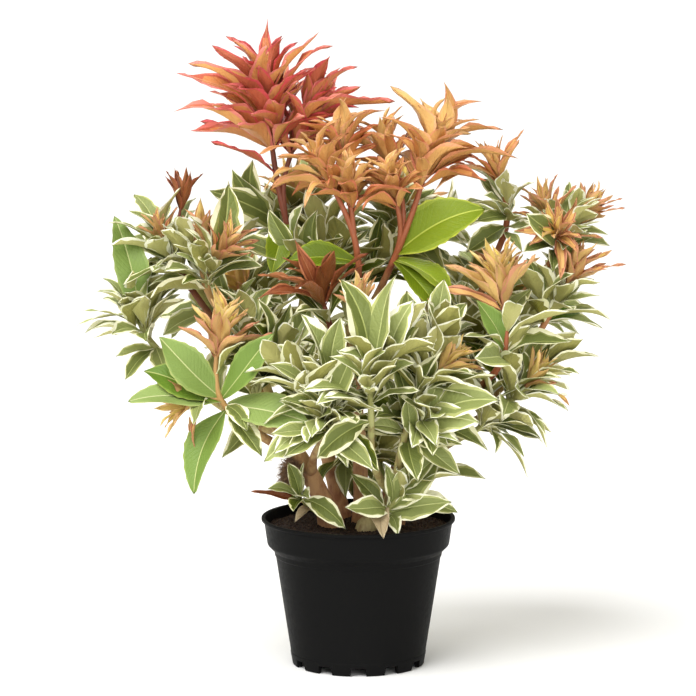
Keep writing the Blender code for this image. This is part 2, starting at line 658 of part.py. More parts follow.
def aim_leaf(kind, root, tip, axis, rng, face=0):
    """A leaf from root to tip, its upper side turned to the twig's axis or to the front."""
    along = (tip - root).normalized()
    root = root - along * (ROOT_SUNK + ROOT_SUNK_ALONG * max(0, along.dot(axis)) ** 4)
    chord = tip - root
    up = axis + Vector((0, -face, SKY_PULL))
    up = up - chord * up.dot(chord) / chord.length_squared
    side = chord.normalized().cross(up.normalized())
    up = up.normalized() + side * rng.uniform(-ROLL, ROLL)
    shape = KINDS[kind]
    return Leaf(kind, root, tip, up, shape.width * chord.length, math.radians(shape.bend))


def spread_leaf(kind, root, axis, azimuth, angle, length, rng):
    """A leaf that leaves the twig at an angle to its axis and bends outwards."""
    across = axis.cross(SKEWED).normalized()
    out = across * math.cos(azimuth) + axis.cross(across) * math.sin(azimuth)
    lean = angle + math.radians(KINDS[kind].bend) * BEND_LEAN
    heading = axis * math.cos(lean) + out * math.sin(lean) + Vector((0, 0, LEAF_LIFT))
    return aim_leaf(kind, root, root + heading.normalized() * length, axis, rng)


def leaf_solid(leaf, start=0.0, grow=0.0):
    """A leaf with a keel: five corners and six faces, from a share of its length on."""
    chord = leaf.tip - leaf.root
    length = chord.length
    along = chord / length
    up = (leaf.up - along * leaf.up.dot(along)).normalized()
    side = along.cross(up)
    rise = length * math.tan(leaf.bend / 4) / 2
    middle = leaf.root + chord * LEAF_WIDEST + up * rise
    root = leaf.root.lerp(middle, start / LEAF_WIDEST)
    half = leaf.width * LEAF_FULLNESS / 2 + grow
    thick = length * LEAF_THICKNESS + grow
    points = [
        root - along * grow,
        middle + side * half + up * grow,
        middle - side * half + up * grow,
        middle - up * thick,
        leaf.tip + along * grow,
    ]
    faces = [(0, 2, 1), (0, 3, 2), (0, 1, 3), (4, 1, 2), (4, 2, 3), (4, 3, 1)]
    return points, faces


# Growth of the masses


class Body:
    """A surface that others keep clear of, with the ball that holds it."""

    def __init__(self, owner, surface):
        points, faces = surface
        self.owner = owner
        self.centre = sum(points, Vector()) / len(points)
        self.radius = max((point - self.centre).length for point in points)
        self.tree = BVHTree.FromPolygons(points, faces)

    def meets(self, other):
        if (self.centre - other.centre).length > self.radius + other.radius:
            return False
        return bool(self.tree.overlap(other.tree))


class Crown:
    """The limbs and leaves set so far."""

    def __init__(self):
        self.limbs = []
        self.twigs = []
        self.leaves = []
        self.blades = []

    def allows(self, owner, leaf, heart, reach):
        """Whether a leaf stays in its mass's space and touches nothing it shouldn't."""
        tip = leaf.tip
        if (tip - heart).length > reach or tip.z > CROWN_TOP:
            return False
        aside, above = POT_CLEARANCE
        if tip.z < SOIL_TOP + above and math.hypot(tip.x, tip.y) < LIP_RADIUS + aside:
            return False
        solid = Body(owner, leaf_solid(leaf, 0, TOUCH))
        if any(solid.meets(limb) for limb in self.limbs):
            return False
        if any(solid.meets(body) for body in self.twigs + self.leaves if body.owner != owner):
            return False
        blade = Body(owner, leaf_solid(leaf, LEAF_OUTER))
        if any(blade.meets(body) for body in self.blades if body.owner == owner):
            return False
        self.leaves.append(Body(owner, leaf_solid(leaf)))
        self.blades.append(blade)
        return True


class Growth:
    """One mass: its twigs, its leaves and the ball of space it keeps to."""

    def __init__(self, mass, limb, seed):
        self.mass = mass
        self.rng = random.Random(seed)
        self.leaves = []
        first = Vector(mass.shoots[0].head)
        if mass.at == 1:
            foot, heading = limb.tip()
            cut = heading
        else:
            foot, cut, along = limb.side(mass.at, first)
            heading = cut + along * TWIG_RISE
        self.twigs = [self.twig(foot, heading, first, TWIG_FOOT_RADIUS, cut)]
        for shoot in mass.shoots[1:]:
            fork, along, radius = self.twigs[0].place(self.rng.uniform(*TWIG_FORK))
            radius *= TWIG_FORK_SHRINK
            self.twigs.append(self.twig(fork, along, Vector(shoot.head), radius, None))
        places = [foot] + [Vector(shoot.head) for shoot in mass.shoots]
        self.heart = sum(places, Vector()) / len(places)
        self.reach = max((place - self.heart).length for place in places) + MASS_REACH

    def twig(self, foot, heading, head, radius, cut):
        path = bent_path(foot, heading, head, TWIG_RINGS)
        radii = []
        for ring in range(TWIG_RINGS):
            share = ring / (TWIG_RINGS - 1)
            radii.append(radius * (1 - share) + TWIG_HEAD_RADIUS * share)
        return Limb(path, radii, TWIG_SIDES, cut)

    def aimed(self, crown):
        for aimed in AIMED:
            if aimed.mass == self.mass.name:
                root, axis, _ = self.twigs[aimed.shoot].place(aimed.at)
                for number in range(TRIES):
                    depth = self.rng.uniform(-RETRY_DEPTH, RETRY_DEPTH) * number
                    tip = Vector(aimed.tip) + Vector((0, depth, 0))
                    leaf = aim_leaf(aimed.kind, root, tip, axis, self.rng, aimed.face)
                    if crown.allows(self.mass.name, leaf, self.heart, self.reach * 2):
                        self.leaves.append(leaf)
                        break

    def whorls(self, crown, kind, count, length, bottom, top, low, high, twig):
        """Leaves set round a stretch of twig by the golden angle, steeper towards its top."""
        turn = self.rng.uniform(0, math.tau)
        for number in range(count):
            share = (number + 0.5) / count
            root, axis, _ = twig.place(bottom + (top - bottom) * share)
            angle = low + (high - low) * share
            size = length * (SIZE_FOOT - SIZE_DROP * share)
            for attempt in range(TRIES):
                loose = self.rng.uniform(-ANGLE_SPREAD, ANGLE_SPREAD) * (1 + attempt)
                spread = math.radians(angle + loose)
                azimuth = turn + math.radians(number * GOLDEN_ANGLE)
                azimuth += self.rng.uniform(-TURN_SPREAD, TURN_SPREAD) * attempt
                long = size * (1 + self.rng.uniform(-SIZE_SPREAD, SIZE_SPREAD))
                long *= 1 - RETRY_SHORTER * attempt
                leaf = spread_leaf(kind, root, axis, azimuth, spread, long, self.rng)
                if math.hypot(leaf.tip.x / CROWN_WIDTH, leaf.tip.y / CROWN_DEPTH) > 1:
                    continue
                if crown.allows(self.mass.name, leaf, self.heart, self.reach):
                    self.leaves.append(leaf)
                    break

    def young(self, crown):
        for shoot, twig in zip(self.mass.shoots, self.twigs):
            if shoot.kind != "old":
                self.dress(crown, shoot, twig)

    def grown(self, crown):
        for shoot, twig in zip(self.mass.shoots, self.twigs):
            if shoot.kind == "old":
                self.dress(crown, shoot, twig)
            elif shoot.old:
                bottom, top = OLD_STRETCH
                top -= self.run_share(shoot, twig)
                self.whorls(crown, "old", shoot.old, shoot.old_length, bottom, top,
                            *OLD_ANGLES, twig)

    def dress(self, crown, shoot, twig):
        bottom = 1 - self.run_share(shoot, twig)
        self.whorls(crown, shoot.kind, shoot.count, shoot.length, bottom, 0.99,
                    shoot.low, shoot.high, twig)

    @staticmethod
    def run_share(shoot, twig):
        length = sum((b - a).length for a, b in zip(twig.path, twig.path[1:]))
        return min(LONGEST_RUN, shoot.run / length)


# Joining


def largest_shell(mesh):
    """Keep the mesh's largest shell, as triangles: scraps go and sealed hollows fill.

    Gives the middles of edges that don't join exactly two faces.
    """
    shell = bmesh.new()
    shell.from_mesh(mesh)
    bmesh.ops.remove_doubles(shell, verts=shell.verts, dist=WELD * MM)
    idle = [vertex for vertex in shell.verts if len(vertex.link_edges) == 2]
    bmesh.ops.dissolve_verts(shell, verts=idle)
    bmesh.ops.triangulate(shell, faces=shell.faces)
    islands, seen = [], set()
    for start in shell.faces:
        if start in seen:
            continue
        island, front = [], [start]
        seen.add(start)
        while front:
            face = front.pop()
            island.append(face)
            for edge in face.edges:
                for neighbour in edge.link_faces:
                    if neighbour not in seen:
                        seen.add(neighbour)
                        front.append(neighbour)
        islands.append(island)
    islands.sort(key=len, reverse=True)
    for island in islands[1:]:
        bmesh.ops.delete(shell, geom=island, context="FACES")
    faults = []
    for edge in shell.edges:
        if len(edge.link_faces) != 2:
            faults.append((edge.verts[0].co + edge.verts[1].co) / 2 / MM)
    shell.to_mesh(mesh)
    shell.free()
    return faults


def join_mass(growth, parts):
    """One Boolean union of a mass's twigs and leaves, and the faults left in it."""
    pieces = [twig.surface for twig in growth.twigs]
    pieces += [leaf_solid(leaf) for leaf in growth.leaves]
    loose = bpy.data.collections.new(growth.mass.name + "_pieces")
    bpy.context.scene.collection.children.link(loose)
    joined = new_object(growth.mass.name, *pieces[0], parts)
    for number, piece in enumerate(pieces[1:]):
        hide_helper(new_object(f"{growth.mass.name}_{number}", *piece, loose))
    union = joined.modifiers.new("Join", "BOOLEAN")
    union.operation = "UNION"
    union.operand_type = "COLLECTION"
    union.collection = loose
    union.solver = "EXACT"
    apply_modifiers(joined)
    for piece in list(loose.objects):
        mesh = piece.data
        bpy.data.objects.remove(piece, do_unlink=True)
        bpy.data.meshes.remove(mesh)
    bpy.data.collections.remove(loose)
    return joined, largest_shell(joined.data)


def build_mass(growth, parts):
    """Join a mass. A leaf beside a fault is left out and the rest joined again."""
    joined, faults = join_mass(growth, parts)
    while faults:
        bpy.data.objects.remove(joined, do_unlink=True)
        fault = faults[0]
        growth.leaves.remove(min(growth.leaves, key=lambda leaf: distance(leaf, fault)))
        joined, faults = join_mass(growth, parts)
    joined.data.materials.append(material_for(growth.mass.name, growth.mass.colour))


def distance(leaf, point):
    """How far a point is from the line between a leaf's root and tip."""
    chord = leaf.tip - leaf.root
    share = (point - leaf.root).dot(chord) / chord.length_squared
    return (leaf.root + chord * max(0, min(1, share)) - point).length


# Whole plant


def build_limbs(parts):
    limbs = {trunk.name: grow_trunk(trunk) for trunk in TRUNKS}
    for bough in BOUGHS:
        limbs[bough.name] = grow_bough(bough, limbs[bough.trunk])
    for name, limb in limbs.items():
        made = new_object(name, *limb.surface, parts)
        made.data.materials.append(material_for(name, "bark"))
    return limbs


def build_knot(limbs, parts, helpers):
    """A dry knot of old twigs, hollowed where it wraps the trunk."""
    trunk = limbs[KNOT_TRUNK]
    point, _, radius = trunk.place(KNOT_AT)
    rng = random.Random(SEED)
    bpy.ops.mesh.primitive_ico_sphere_add(subdivisions=2, radius=1)
    knot = bpy.context.object
    knot.name = knot.data.name = "dry_knot"
    for collection in list(knot.users_collection):
        collection.objects.unlink(knot)
    parts.objects.link(knot)
    centre = point + Vector(KNOT_SIDE).normalized() * (radius + KNOT_SIZE[0] * KNOT_OUT)
    for vertex in knot.data.vertices:
        swell = 1 + rng.uniform(-KNOT_ROUGHNESS, KNOT_ROUGHNESS)
        vertex.co = (centre + vertex.co * Vector(KNOT_SIZE) * swell) * MM
    room = tube(trunk.path, [value + GAP for value in trunk.radii], TRUNK_SIDES)
    cutter = new_object("knot_cutter", *room, helpers)
    hide_helper(cutter)
    cut = knot.modifiers.new("Room for the trunk", "BOOLEAN")
    cut.operation = "DIFFERENCE"
    cut.object = cutter
    cut.solver = "EXACT"
    knot.data.materials.append(material_for("dry_knot", "knot"))
    return Body("dry_knot", ([vertex.co / MM for vertex in knot.data.vertices],
                             [tuple(face.vertices) for face in knot.data.polygons]))


def build_foliage(limbs, knot, parts):
    crown = Crown()
    crown.limbs = [Body(name, limb.surface) for name, limb in limbs.items()] + [knot]
    growths = []
    for number, mass in enumerate(MASSES):
        growths.append(Growth(mass, limbs[mass.limb], SEED + number))
    for growth in growths:
        crown.twigs += [Body(growth.mass.name, twig.surface) for twig in growth.twigs]
    for growth in growths:
        growth.aimed(crown)
    for growth in growths:
        growth.young(crown)
    for growth in growths:
        growth.grown(crown)
    for growth in growths:
        build_mass(growth, parts)


def main():
    clear_scene()
    parts = new_collection("potted_pieris")
    helpers = new_collection("helpers")
    build_pot(parts, helpers)
    build_soil(parts)
    limbs = build_limbs(parts)
    knot = build_knot(limbs, parts, helpers)
    build_foliage(limbs, knot, parts)


main()
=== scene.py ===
"""Looks of a potted Japanese pieris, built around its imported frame.

The plant grows by the rule of the solids: trunks, boughs, twigs from the tips of
the boughs, the leaves that make the outline, rosettes of young leaves and old
leaves below them. Finer twigs and leaves are then added in the same space.

Growth is worked out in millimetres. Meshes and the settings are in metres.
X runs to the right, Y away from the viewer and Z up from the floor.
"""

import functools
import json
import math
import random
from collections import namedtuple

import bmesh
import bpy
import numpy as np
from bpy.props import FloatProperty, FloatVectorProperty, IntProperty, PointerProperty
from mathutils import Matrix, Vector
from mathutils.bvhtree import BVHTree

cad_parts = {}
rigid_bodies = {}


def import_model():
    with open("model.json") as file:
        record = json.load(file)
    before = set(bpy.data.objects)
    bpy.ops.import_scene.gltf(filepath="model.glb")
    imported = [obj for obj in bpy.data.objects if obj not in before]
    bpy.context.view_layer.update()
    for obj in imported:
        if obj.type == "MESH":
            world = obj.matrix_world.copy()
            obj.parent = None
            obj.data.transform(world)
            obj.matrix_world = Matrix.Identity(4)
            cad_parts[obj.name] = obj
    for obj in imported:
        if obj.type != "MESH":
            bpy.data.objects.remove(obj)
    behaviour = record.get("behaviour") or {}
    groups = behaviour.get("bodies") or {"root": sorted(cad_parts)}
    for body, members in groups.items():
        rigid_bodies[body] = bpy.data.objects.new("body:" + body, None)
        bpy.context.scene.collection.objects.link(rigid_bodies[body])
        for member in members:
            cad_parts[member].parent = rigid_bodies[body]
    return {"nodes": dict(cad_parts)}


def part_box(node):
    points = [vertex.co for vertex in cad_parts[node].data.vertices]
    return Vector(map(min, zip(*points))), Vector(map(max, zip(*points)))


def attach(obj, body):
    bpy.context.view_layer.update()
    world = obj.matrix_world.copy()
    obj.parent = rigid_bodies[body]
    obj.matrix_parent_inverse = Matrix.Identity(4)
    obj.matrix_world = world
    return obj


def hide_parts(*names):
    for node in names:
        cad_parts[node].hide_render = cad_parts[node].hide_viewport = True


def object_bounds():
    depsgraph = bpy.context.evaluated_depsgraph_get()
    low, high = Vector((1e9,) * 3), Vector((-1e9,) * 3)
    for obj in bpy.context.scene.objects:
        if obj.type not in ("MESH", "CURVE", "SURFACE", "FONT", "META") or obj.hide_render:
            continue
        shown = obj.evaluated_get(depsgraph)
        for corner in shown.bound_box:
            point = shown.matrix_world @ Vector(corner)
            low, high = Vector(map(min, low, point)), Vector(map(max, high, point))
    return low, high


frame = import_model()
CAD_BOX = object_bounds()

bl_info = {
    "name": "Potted pieris looks",
    "version": (1, 0, 0),
    "blender": (4, 5, 0),
    "location": "3D View > Sidebar > Pieris",
    "description": "Pot, soil, bark, twigs and leaves around the packed frame of a potted pieris",
    "category": "Add Mesh",
}

MM = 0.001
GAP = 0.3
SEED = 41

# Sizes that come from the frame, in millimetres

SOIL_TOP = round(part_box("soil")[1].z / MM, 1)
LIP_RADIUS = round(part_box("pot")[1].x / MM, 1)

# Limbs: rings of sides along a bent path

TRUNK_SIDES = 7
TRUNK_RINGS = 7
BOUGH_SIDES = 5
BOUGH_RINGS = 5
TWIG_SIDES = 3
TWIG_RINGS = 4
KNEE = 0.42
FLARE = 0.26
FLARE_LENGTH = 0.07
FLARE_RING = 0.6
SEAT = 0.45
SIDEWAYS = Vector((0.31, 0.95, 0.07))
SKEWED = Vector((0.37, 0.11, 0.92))

# Leaves: width and bend of each kind, and the solid that stands for a leaf

GOLDEN_ANGLE = 137.5
OLD_ANGLES = (74, 40)
OLD_STRETCH = (0.22, 0.90)
LONGEST_RUN = 0.85
SIZE_FOOT = 1.06
SIZE_DROP = 0.24
SIZE_SPREAD = 0.08
ANGLE_SPREAD = 4.0
TURN_SPREAD = 0.12
BEND_LEAN = 0.3
ROLL = 0.35
SKY_PULL = 0.6
RETRY_SHORTER = 0.05
RETRY_DEPTH = 4.0
LEAF_THICKNESS = 0.026
LEAF_WIDEST = 0.56
LEAF_OUTER = 0.2
LEAF_LIFT = 0.16
LEAF_FULLNESS = 1.25
ROOT_SUNK = 0.6
ROOT_SUNK_ALONG = 2.4
TRIES = 6
TOUCH = 0.36
CROWN_WIDTH = 270.0
CROWN_DEPTH = 212.0
MASS_REACH = 108.0
POT_CLEARANCE = (4.0, 3.0)
CROWN_TOP = 632.5
TWIG_FOOT_RADIUS = 3.0
TWIG_HEAD_RADIUS = 1.9
TWIG_FORK = (0.08, 0.16)
TWIG_FORK_SHRINK = 0.86
TWIG_RISE = 0.6

Kind = namedtuple("Kind", "width bend")
KINDS = {
    "red": Kind(0.19, 30),
    "tan": Kind(0.22, 48),
    "bronze": Kind(0.20, 20),
    "dark": Kind(0.17, 40),
    "slim": Kind(0.12, 24),
    "arched": Kind(0.17, 105),
    "old": Kind(0.30, 34),
    "plain": Kind(0.36, 30),
    "dry": Kind(0.34, 70),
}

Trunk = namedtuple("Trunk", "name foot heading tip foot_radius tip_radius")
TRUNKS = (
    Trunk("trunk_left", (-27, 6), (-0.28, -0.02, 1), (-92, -18, 256), 10.5, 6.2),
    Trunk("trunk_middle", (3, 27), (0.0, -0.05, 1), (-8, 26, 332), 7.8, 4.8),
    Trunk("trunk_front", (9, -15), (1.0, -0.30, 0.75), (44, -54, 222), 9.6, 5.8),
    Trunk("trunk_right", (36, 16), (0.20, -0.02, 1), (100, 6, 264), 8.4, 5.2),
    Trunk("trunk_back", (-17, 52), (-0.15, 0.25, 1), (-78, 116, 300), 8.4, 4.8),
    Trunk("trunk_rear", (27, 54), (0.20, 0.25, 1), (105, 112, 300), 8.4, 4.8),
)

Bough = namedtuple("Bough", "name trunk at tip foot_radius tip_radius rise")
BOUGHS = (
    Bough("bough_left_low", "trunk_left", 0.74, (-124, -68, 262), 5.2, 3.6, 1.1),
    Bough("bough_left_far", "trunk_left", 0.86, (-196, 0, 312), 4.8, 3.0, 0.5),
    Bough("bough_left_top", "trunk_left", 0.93, (-140, -18, 360), 4.6, 3.2, 1.2),
    Bough("bough_left_edge", "trunk_left", 0.78, (-164, 8, 372), 4.4, 3.0, 1.0),
    Bough("bough_front_left", "trunk_left", 0.56, (-27, -90, 244), 4.4, 3.2, 0.9),
    Bough("bough_red", "trunk_middle", 0.90, (-68, 28, 425), 5.0, 3.6, 1.3),
    Bough("bough_tan_left", "trunk_middle", 0.82, (0, -34, 398), 4.6, 3.2, 1.1),
    Bough("bough_tan_right", "trunk_middle", 0.96, (33, -22, 400), 4.6, 3.2, 1.0),
    Bough("bough_dark", "trunk_middle", 0.62, (-25, -58, 334), 4.4, 3.0, 0.9),
    Bough("bough_front_middle", "trunk_front", 0.66, (12, -110, 258), 4.6, 3.2, 0.7),
    Bough("bough_front_right", "trunk_front", 0.76, (52, -92, 272), 4.4, 3.0, 1.2),
    Bough("bough_right_bronze", "trunk_right", 0.88, (131, -58, 298), 4.6, 3.2, 1.0),
    Bough("bough_right_low", "trunk_right", 0.78, (137, -44, 262), 4.2, 2.8, 1.0),
    Bough("bough_right_reach", "trunk_right", 0.95, (172, -16, 325), 4.2, 3.0, 0.8),
    Bough("bough_right_top", "trunk_right", 0.90, (188, 12, 396), 4.4, 3.2, 1.3),
    Bough("bough_right_slim", "trunk_right", 0.97, (141, 14, 420), 4.2, 3.0, 1.8),
    Bough("bough_right_under", "trunk_front", 0.84, (106, -46, 236), 4.0, 2.8, 0.9),
    Bough("bough_back_top", "trunk_back", 0.90, (-48, 112, 385), 4.4, 3.2, 1.4),
    Bough("bough_back_low", "trunk_back", 0.62, (-52, 158, 262), 4.4, 3.2, 0.8),
    Bough("bough_rear_top", "trunk_rear", 0.90, (42, 112, 382), 4.4, 3.2, 1.2),
    Bough("bough_rear_low", "trunk_rear", 0.62, (78, 160, 258), 4.4, 3.2, 0.8),
)

# A shoot's head, its leaves at the head (kind, number, length, the run of twig they
# sit on, angles of the lowest and highest from the twig) and old leaves below them

Shoot = namedtuple(
    "Shoot", "head kind count length run low high old old_length", defaults=(0, 55)
)
Mass = namedtuple("Mass", "name limb at colour shoots")
MASSES = (
    Mass("leaves_crown_red", "bough_red", 1, "red", (
        Shoot((-88, 20, 557), "red", 15, 88, 52, 76, 18),
        Shoot((-46, 36, 540), "red", 11, 76, 42, 72, 14),
    )),
    Mass("leaves_crown_tan_left", "bough_tan_left", 1, "tan", (
        Shoot((-36, -36, 492), "tan", 8, 64, 24, 74, 20),
        Shoot((-8, -44, 474), "tan", 8, 58, 22, 72, 16),
        Shoot((-16, -8, 516), "tan", 8, 60, 24, 66, 16),
    )),
    Mass("leaves_crown_tan_right", "bough_tan_right", 1, "tan", (
        Shoot((72, -18, 512), "tan", 12, 70, 38, 66, 10),
        Shoot((31, -42, 476), "tan", 8, 56, 22, 74, 16),
        Shoot((28, -2, 508), "tan", 8, 60, 24, 68, 18),
    )),
    Mass("leaves_right_slim", "bough_right_slim", 1, "dark", (
        Shoot((136, 10, 480), "slim", 6, 54, 12, 44, 10, 5, 60),
    )),
    Mass("leaves_right_top", "bough_right_top", 1, "bronze", (
        Shoot((183, 10, 446), "bronze", 8, 46, 14, 62, 12, 5, 56),
        Shoot((223, 12, 444), "bronze", 8, 44, 14, 58, 12, 5, 52),
        Shoot((190, -26, 428), "bronze", 6, 50, 12, 66, 22, 4, 54),
    )),
    Mass("leaves_right_bronze", "bough_right_bronze", 1, "bronze", (
        Shoot((135, -60, 380), "bronze", 12, 64, 18, 66, 10, 9, 70),
    )),
    Mass("leaves_right_reach", "bough_right_reach", 1, "bronze", (
        Shoot((209, -20, 388), "bronze", 8, 52, 16, 50, 10, 7, 62),
    )),
    Mass("leaves_right_low", "bough_right_low", 1, "green", (
        Shoot((168, -50, 290), "bronze", 6, 46, 12, 58, 12, 6, 66),
        Shoot((172, -22, 296), "old", 7, 66, 28, 66, 24),
    )),
    Mass("leaves_right_middle", "trunk_right", 1, "green", (
        Shoot((112, 18, 338), "old", 8, 70, 50, 70, 26),
        Shoot((150, 14, 330), "old", 8, 70, 44, 68, 26),
    )),
    Mass("leaves_right_under", "bough_right_under", 1, "green", (
        Shoot((134, -50, 250), "old", 8, 66, 22, 84, 36),
    )),
    Mass("leaves_front_right", "bough_front_right", 1, "green", (
        Shoot((86, -92, 312), "bronze", 8, 42, 12, 56, 10, 6, 62),
        Shoot((74, -64, 340), "bronze", 4, 38, 8, 40, 12, 5, 62),
    )),
    Mass("leaves_front_middle", "bough_front_middle", 1, "green", (
        Shoot((3, -97, 368), "bronze", 7, 48, 14, 46, 10, 7, 70),
        Shoot((36, -112, 332), "old", 8, 68, 44, 62, 20),
        Shoot((8, -132, 304), "old", 7, 64, 38, 66, 26),
    )),
    Mass("leaves_front_low", "trunk_front", 1, "green", (
        Shoot((66, -98, 262), "old", 9, 70, 34, 76, 30),
        Shoot((50, -88, 244), "old", 6, 62, 22, 84, 40),
    )),
    Mass("leaves_inner_dark", "bough_dark", 1, "dark", (
        Shoot((-36, -62, 374), "dark", 6, 70, 12, 70, 22, 4, 64),
    )),
    Mass("leaves_front_left", "bough_front_left", 1, "green", (
        Shoot((-32, -110, 262), "old", 8, 64, 22, 96, 44),
        Shoot((-24, -98, 300), "old", 7, 66, 34, 72, 26),
        Shoot((-68, -98, 300), "old", 8, 68, 40, 74, 26),
    )),
    Mass("leaves_left_bronze", "bough_left_low", 1, "bronze", (
        Shoot((-132, -72, 340), "bronze", 12, 56, 22, 74, 8, 3, 60),
        Shoot((-163, -80, 268), "bronze", 6, 48, 10, 70, 14, 2, 54),
    )),
    Mass("leaves_left_middle", "trunk_left", 1, "green", (
        Shoot((-104, -30, 334), "old", 8, 70, 56, 72, 24),
        Shoot((-74, -50, 320), "old", 7, 68, 44, 70, 26),
    )),
    Mass("leaves_left_top", "bough_left_top", 1, "bronze", (
        Shoot((-150, -12, 424), "bronze", 7, 48, 16, 50, 8, 5, 62),
        Shoot((-131, -28, 412), "bronze", 8, 52, 16, 62, 14, 6, 62),
    )),
    Mass("leaves_left_edge", "bough_left_edge", 1, "green", (
        Shoot((-192, -2, 424), "bronze", 5, 36, 10, 44, 12, 6, 64),
        Shoot((-172, 16, 454), "slim", 5, 46, 10, 40, 10, 6, 62),
    )),
    Mass("leaves_left_far", "bough_left_far", 1, "green", (
        Shoot((-218, 0, 350), "old", 8, 62, 34, 80, 22),
    )),
    Mass("leaves_core", "trunk_middle", 1, "green", (
        Shoot((-62, 4, 402), "old", 7, 72, 50, 72, 26),
        Shoot((-30, 52, 420), "old", 7, 72, 54, 68, 26),
        Shoot((34, 30, 398), "old", 6, 68, 44, 70, 28),
    )),
    Mass("leaves_foot_front", "trunk_front", 0.36, "green", (
        Shoot((46, -62, 186), "old", 4, 46, 10, 66, 24),
    )),
    Mass("leaves_foot_left", "trunk_left", 0.20, "green", (
        Shoot((-58, -34, 172), "old", 3, 44, 8, 62, 30),
    )),
    Mass("leaves_back_left", "trunk_back", 1, "green", (
        Shoot((-118, 112, 356), "bronze", 7, 54, 16, 56, 12, 6, 72),
        Shoot((-92, 158, 338), "old", 8, 74, 50, 74, 22),
        Shoot((-148, 74, 338), "old", 8, 74, 50, 74, 24),
    )),
    Mass("leaves_back_top", "bough_back_top", 1, "bronze", (
        Shoot((-62, 112, 446), "bronze", 9, 62, 20, 62, 12, 6, 72),
        Shoot((-100, 88, 424), "old", 8, 70, 46, 72, 24),
    )),
    Mass("leaves_back_low", "bough_back_low", 1, "green", (
        Shoot((-92, 162, 280), "old", 8, 72, 40, 84, 28),
        Shoot((-24, 178, 284), "old", 8, 72, 40, 84, 28),
    )),
    Mass("leaves_back_right", "trunk_rear", 1, "green", (
        Shoot((144, 104, 366), "bronze", 7, 54, 16, 56, 12, 6, 72),
        Shoot((116, 158, 336), "old", 8, 74, 50, 74, 22),
        Shoot((172, 74, 334), "old", 8, 72, 50, 74, 24),
    )),
    Mass("leaves_rear_top", "bough_rear_top", 1, "bronze", (
        Shoot((40, 116, 440), "bronze", 9, 62, 20, 62, 12, 6, 72),
        Shoot((84, 92, 420), "old", 8, 70, 46, 72, 24),
    )),
    Mass("leaves_rear_low", "bough_rear_low", 1, "green", (
        Shoot((112, 160, 278), "old", 8, 72, 40, 84, 28),
        Shoot((44, 178, 280), "old", 8, 72, 40, 84, 28),
    )),
    Mass("leaves_foot_back", "trunk_back", 0.30, "green", (
        Shoot((-14, 72, 204), "old", 8, 58, 26, 84, 34),
        Shoot((28, 70, 196), "old", 7, 56, 24, 84, 34),
    )),
)

# Leaves that make the crown's outline: the mass and shoot they sit on, how far up
# the twig, their kind, where the tip reaches and how far they turn to the front

